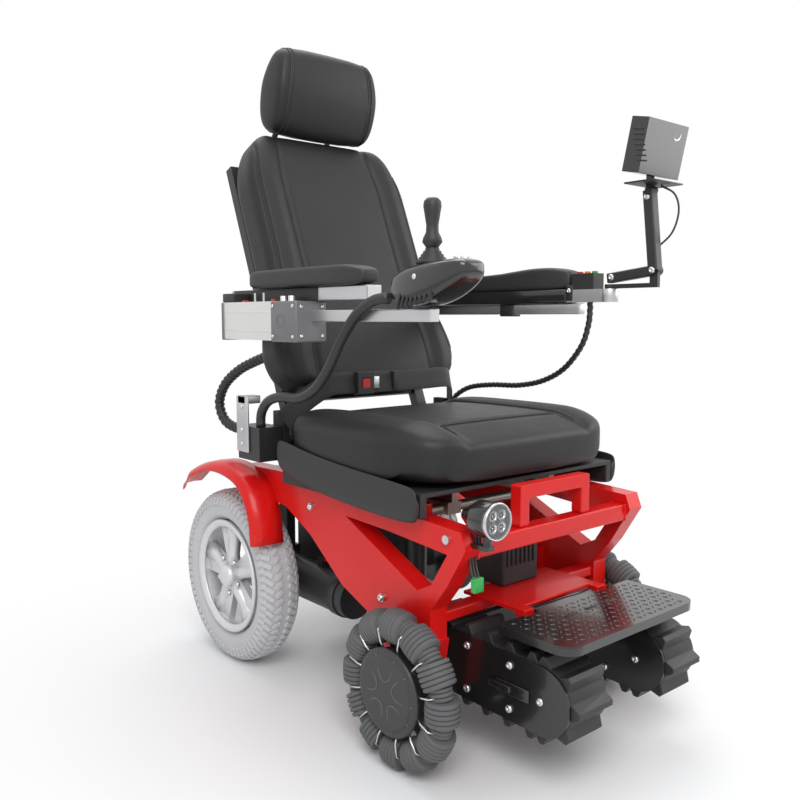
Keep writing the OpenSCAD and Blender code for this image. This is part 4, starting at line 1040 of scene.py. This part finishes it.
def bar_between(name, start, end, wide, material):
    """A square bar with broken edges from one point to another."""
    start, end = Vector(start), Vector(end)
    ahead = (end - start).normalized()
    side = Vector((1, 0, 0))
    up = ahead.cross(side).normalized()
    rings = [[p + wide / 2 * (x * side + z * up) for x, z in BAR_SECTION] for p in (start, end)]
    piece = loft(name, rings, material)
    piece.data.polygons.foreach_set("use_smooth", [False] * len(piece.data.polygons))
    return piece


MAST = (0.228, -0.2579, 0.7815)
ELBOW = (0.228, -0.3529, 0.7924)
MONITOR_FOOT = (0.228, -0.3379, 0.9324)
MONITOR_ROUTE = [(0.24, -0.352, 0.94), (0.252, -0.372, 0.925), (0.254, -0.38, 0.895), (0.248, -0.372, 0.858),
                 (0.2385, -0.3485, 0.832)]
THIN_WIRE = 0.0018
TO_RIGHT, TO_FRONT = (-1, 0, 0), (0, -1, 0)


def make_left_arm(bar_z):
    """The left arm's black body, its silver rail with a clamp, and the square links of the monitor arm."""
    (_, near, _), (_, far, _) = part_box("arm_left_pad")
    put("arm_left", "gloss_black", block("arm_left_body", (0.2085, near + 0.004, bar_z - 0.0015),
                                         (0.2475, far + 0.03, bar_z + 0.0255), BLACK_GLOSS))
    put("arm_left", "arm_metal", block("arm_left_rail", (0.219, -0.196, bar_z - 0.0225),
                                       (0.237, 0.262, bar_z - 0.0018), ALUMINIUM, 0.0015))
    put("arm_left", "black_plastic",
        block("arm_left_clamp", (0.215, -0.03, bar_z - 0.0265), (0.241, 0.005, bar_z - 0.001), BLACK_PLASTIC, 0.002),
        block("arm_left_lug", (0.2105, near - 0.012, bar_z + 0.002), (0.2455, near + 0.006, bar_z + 0.033),
              BLACK_PLASTIC, 0.004))
    add_screws("arm_left_screws", "arm_left", 0.005, 0.003, [(0.2105, near - 0.003, bar_z + 0.022)], [TO_RIGHT])
    lower = bar_between("monitor_link_lower", MAST, ELBOW, 0.018, BLACK_PAINT)
    upper = bar_between("monitor_link_upper", ELBOW, MONITOR_FOOT, 0.0195, BLACK_PAINT)
    plate = block("monitor_shelf", (0.182, -0.375, 0.9415), (0.274, -0.315, 0.9445), BLACK_PAINT, 0.001)
    put("monitor_arm_lower", "black_paint", lower)
    put("monitor_arm_upper", "black_paint", upper, plate)
    for end, places in (("lower", [(0.219, MAST[1] - 0.01, 0.783)]),
                        ("upper", [(0.2182, ELBOW[1], ELBOW[2]),
                                   (0.2182, MONITOR_FOOT[1] - 0.001, MONITOR_FOOT[2] - 0.012)])):
        add_screws("monitor_bolts_" + end, "monitor_arm_" + end, 0.0062, 0.004, places, [TO_RIGHT] * len(places))
    wire = swept("monitor_wire", curve_points(MONITOR_ROUTE, 0.005), THIN_WIRE, CABLE, 8)
    put("monitor_arm_upper", "cable", wire)


def make_arm_details():
    low, high = box_of("switch_box")
    bar_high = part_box("arm_right_frame")[1]
    top = bar_high[2] - 0.024
    out = low.x - 0.0025
    cap = block("switch_box_end", (out, low.y - 0.004, low.z - 0.002), (high.x + 0.002, low.y + 0.078, top), END_GREY)
    rear = block("switch_box_rear", (low.x - 0.002, high.y - 0.004, low.z - 0.002),
                 (high.x + 0.002, high.y + 0.004, top), END_GREY, 0.002)
    seal = lathe("box_knockout_ring", [(0.0105, -0.001), (0.0115, 0.001), (0.0125, -0.001)], END_GREY,
                 (out, low.y + 0.045, (low.z + top) / 2), (-1, 0, 0), 32, ring=True)
    trim = block("arm_right_trim", (-0.2462, low.y - 0.012, top + 0.0004),
                 (-0.2435, bar_high[1] - 0.012, top + 0.0236), BLACK_PLASTIC, 0.0012)
    tray = block("switch_tray", (low.x + 0.001, high.y - 0.04, top + 0.0002), (-0.246, high.y + 0.003, top + 0.017),
                 BLACK_PLASTIC, 0.002)
    put("arm_right", "black_plastic", trim, tray)
    corners = [(x, low.y - 0.004, z) for x in (low.x + 0.008, high.x - 0.008) for z in (low.z + 0.009, top - 0.01)]
    corners += [(out, low.y + y, z) for y in (0.07, 0.006) for z in (low.z + 0.008, top - 0.009)]
    add_screws("switch_box_screws", "arm_right", 0.0035, 0.0024, corners, [TO_FRONT] * 4 + [TO_RIGHT] * 4)
    lines = [block("rib", (low.x - 0.0012, low.y + 0.079, z), (low.x + 0.001, high.y - 0.006, z + 0.002), CASE_METAL,
                   0.0006) for z in (low.z + 0.016, low.z + 0.05)]
    put("arm_right", "hub_grey", cap, rear)
    put("arm_right", "box_metal", seal, joined("switch_box_ribs", lines))
    make_left_arm(top)
    low, high = box_of("monitor_case")
    slats = [(low.x - 0.0002, low.y + 0.012 + 0.0015 * k, low.z + 0.05 + 0.009 * k) for k in range(7)]
    vents = small_blocks("monitor_vents", (0.0012, 0.01, 0.0014), slats, (0.2, 0, 0), BLACK_PAINT, 0.0005)
    put("monitor", "gloss_black", vents)
    eye = [(0.012, -0.006), (0.013, 0.004), (0.0115, 0.009), (0.009, 0.0075), (0.0005, 0.006)]
    eye_at = ((low.x + high.x) / 2 + 0.03, low.y + 0.012, low.z + 0.105)
    put("monitor", "steel", lathe("monitor_lamp", eye, STEEL, eye_at, (0, -1, -0.1), 32))


def make_lamp():
    low, high = box_of("headlamp_lens")
    centre = (low + high) / 2
    bezel = [(0.024, -0.001), (0.0275, -0.002), (0.0285, 0.004), (0.0275, 0.007), (0.0255, 0.0055)]
    ring = lathe("lamp_bezel", bezel, STEEL, (centre.x, high.y, centre.z), TO_FRONT, 48, ring=True)
    cups = [(centre.x + dx, high.y + 0.0005, centre.z + dz) for dx in (-0.009, 0.009) for dz in (-0.009, 0.009)]
    cup = lathe("cup_unit", [(0.0085, 0.003), (0.006, 0.0006), (0.002, 0.0002), (0.0005, 0.0012)], STEEL, (0, 0, 0),
                (0, 0, 1), 20, capped=False)
    leds = copies("lamp_reflectors", cup, cups, [turn_to(TO_FRONT)] * 4, STEEL)
    put("chassis", "steel", ring, leds)
    wires = []
    for k in range(3):
        line = [(-0.203 + 0.005 * k, -0.335, 0.392), (-0.203 + 0.006 * k, -0.338, 0.372),
                (-0.206 + 0.006 * k, -0.33, 0.345), (-0.21 + 0.006 * k, -0.3415, 0.318)]
        wires.append(swept("wire", curve_points(line, 0.004), THIN_WIRE, CABLE, 8))
    put("chassis", "cable", joined("lamp_wires", wires))
    plug = block("lamp_connector", (-0.214, -0.3485, 0.3), (-0.194, -0.3395, 0.322), GREEN, 0.0015)
    put("chassis", "green_plastic", plug)


FRAME_SIDE = 0.2311
FRAME_BOLTS = ((-0.212, 0.2255), (-0.148, 0.247), (0.056, 0.365), (0.235, 0.389))
WELDS = ((-0.3305, 0.345, 0.03), (-0.3005, 0.375, -0.03))


def make_frame_details():
    heads, normals, seams = [], [], []
    for side in (-1, 1):
        for y, z in FRAME_BOLTS:
            heads.append((side * FRAME_SIDE, y, z))
            normals.append((side, 0, 0))
        for y, z, rise in WELDS:
            line = [Vector((side * 0.189, y, z + rise * t / 14)) for t in range(15)]
            seams.append(swept("bead", line, 0.0022, RED, 8))
    add_screws("frame_bolt_heads", "chassis", 0.0062, 0.004, heads, normals)
    put("chassis", "red_paint", joined("weld_beads", seams))
    plate = joined("side_bracket", [
        block("plate", (-0.2765, 0.196, 0.452), (-0.2722, 0.238, 0.56), ALUMINIUM, 0.0015),
        block("plate", (-0.2765, 0.204, 0.545), (-0.242, 0.232, 0.56), ALUMINIUM, 0.0015)])
    put("back", "arm_metal", plate)
    places = [(-0.2765, 0.217, z) for z in (0.468, 0.495, 0.54)]
    add_screws("bracket_screws", "back", 0.0045, 0.003, places, [TO_RIGHT] * 3)
    low, high = box_of("control_box")
    ribs = [(low.x + 0.012 + 0.011 * k, low.y - 0.0008, (low.z + high.z) / 2 + 0.012) for k in range(7)]
    fins = small_blocks("control_box_ribs", (0.002, 0.0015, 0.026), ribs, (0, 0, 0), BLACK_PLASTIC, 0.0007)
    put("chassis", "black_plastic", fins)


def make_world():
    """A pale sky that lights the chair, and plain white where the camera or a reflection sees it."""
    world = bpy.data.worlds.new("studio")
    bpy.context.scene.world = world
    nodes = Nodes(world)
    camera, glossy, through = (nodes.node("ShaderNodeLightPath", output=ray) for ray in (
        "Is Camera Ray", "Is Glossy Ray", "Is Transmission Ray"))
    seen = camera.maths("MAXIMUM", camera.maths("MAXIMUM", camera, glossy), through)
    sky, white = (nodes.node("ShaderNodeBackground", None, {"Color": colour, "Strength": strength})
                  for colour, strength in (((0.95, 0.97, 1, 1), 0.55), ((1, 1, 1, 1), 1.0)))
    mixed = nodes.node("ShaderNodeMixShader", None, {0: seen, 1: sky, 2: white})
    nodes.plug(nodes.tree.nodes["World Output"].inputs[0], mixed)


# Name, place, size in metres and power in watts
STUDIO_LIGHTS = (("key", (-1.6, -1.9, 2.4), 1.6, 46), ("fill", (2.0, -1.2, 1.6), 1.8, 22),
                 ("top", (0.2, 0.6, 2.9), 2.0, 30))
LIT_POINT = (0, 0, 0.55)
FLOOR_REACH = 8.0


def make_light_and_floor():
    make_world()
    for name, place, size, watts in STUDIO_LIGHTS:
        lamp = bpy.data.lights.new(name, "AREA")
        lamp.size = size
        lamp.energy = watts
        aimed(name, lamp, place, LIT_POINT)
    finish = Finish("pale_floor")
    finish.set(Base_Color=(0.93, 0.93, 0.93, 1), Roughness=0.9, Specular_IOR_Level=0.1)
    away = finish.node("ShaderNodeVectorMath", {"operation": "LENGTH"}, {0: finish.place()}, "Value")
    fade = finish.node("ShaderNodeMapRange", {"interpolation_type": "SMOOTHSTEP"},
                       {"Value": away, "From Min": 0.35, "From Max": 1.15})
    seen = finish.node("ShaderNodeLightPath", output="Is Camera Ray")
    glow = finish.node("ShaderNodeEmission", None, {"Color": (1, 1, 1, 1), "Strength": 1.0})
    matt = Value(finish, finish.shader.outputs[0])
    mixed = finish.node("ShaderNodeMixShader", None, {0: fade * seen, 1: matt, 2: glow})
    finish.plug(finish.tree.nodes["Material Output"].inputs[0], mixed)
    corners = [(x * FLOOR_REACH, y * FLOOR_REACH, 0) for x, y in ((-1, -1), (1, -1), (1, 1), (-1, 1))]
    floor = new_piece("floor", corners, [(0, 1, 2, 3)], finish.material)


make_camera()
make_cables()
dress_cad_nodes()
make_soft_goods()
make_belt()
make_skirts()
make_wheels()
make_fenders()
make_footplate_tread()
make_track_details()
make_joystick_pod()
make_arm_details()
make_lamp()
make_frame_details()
make_light_and_floor()
bpy.context.scene.view_settings.view_transform = "Standard"
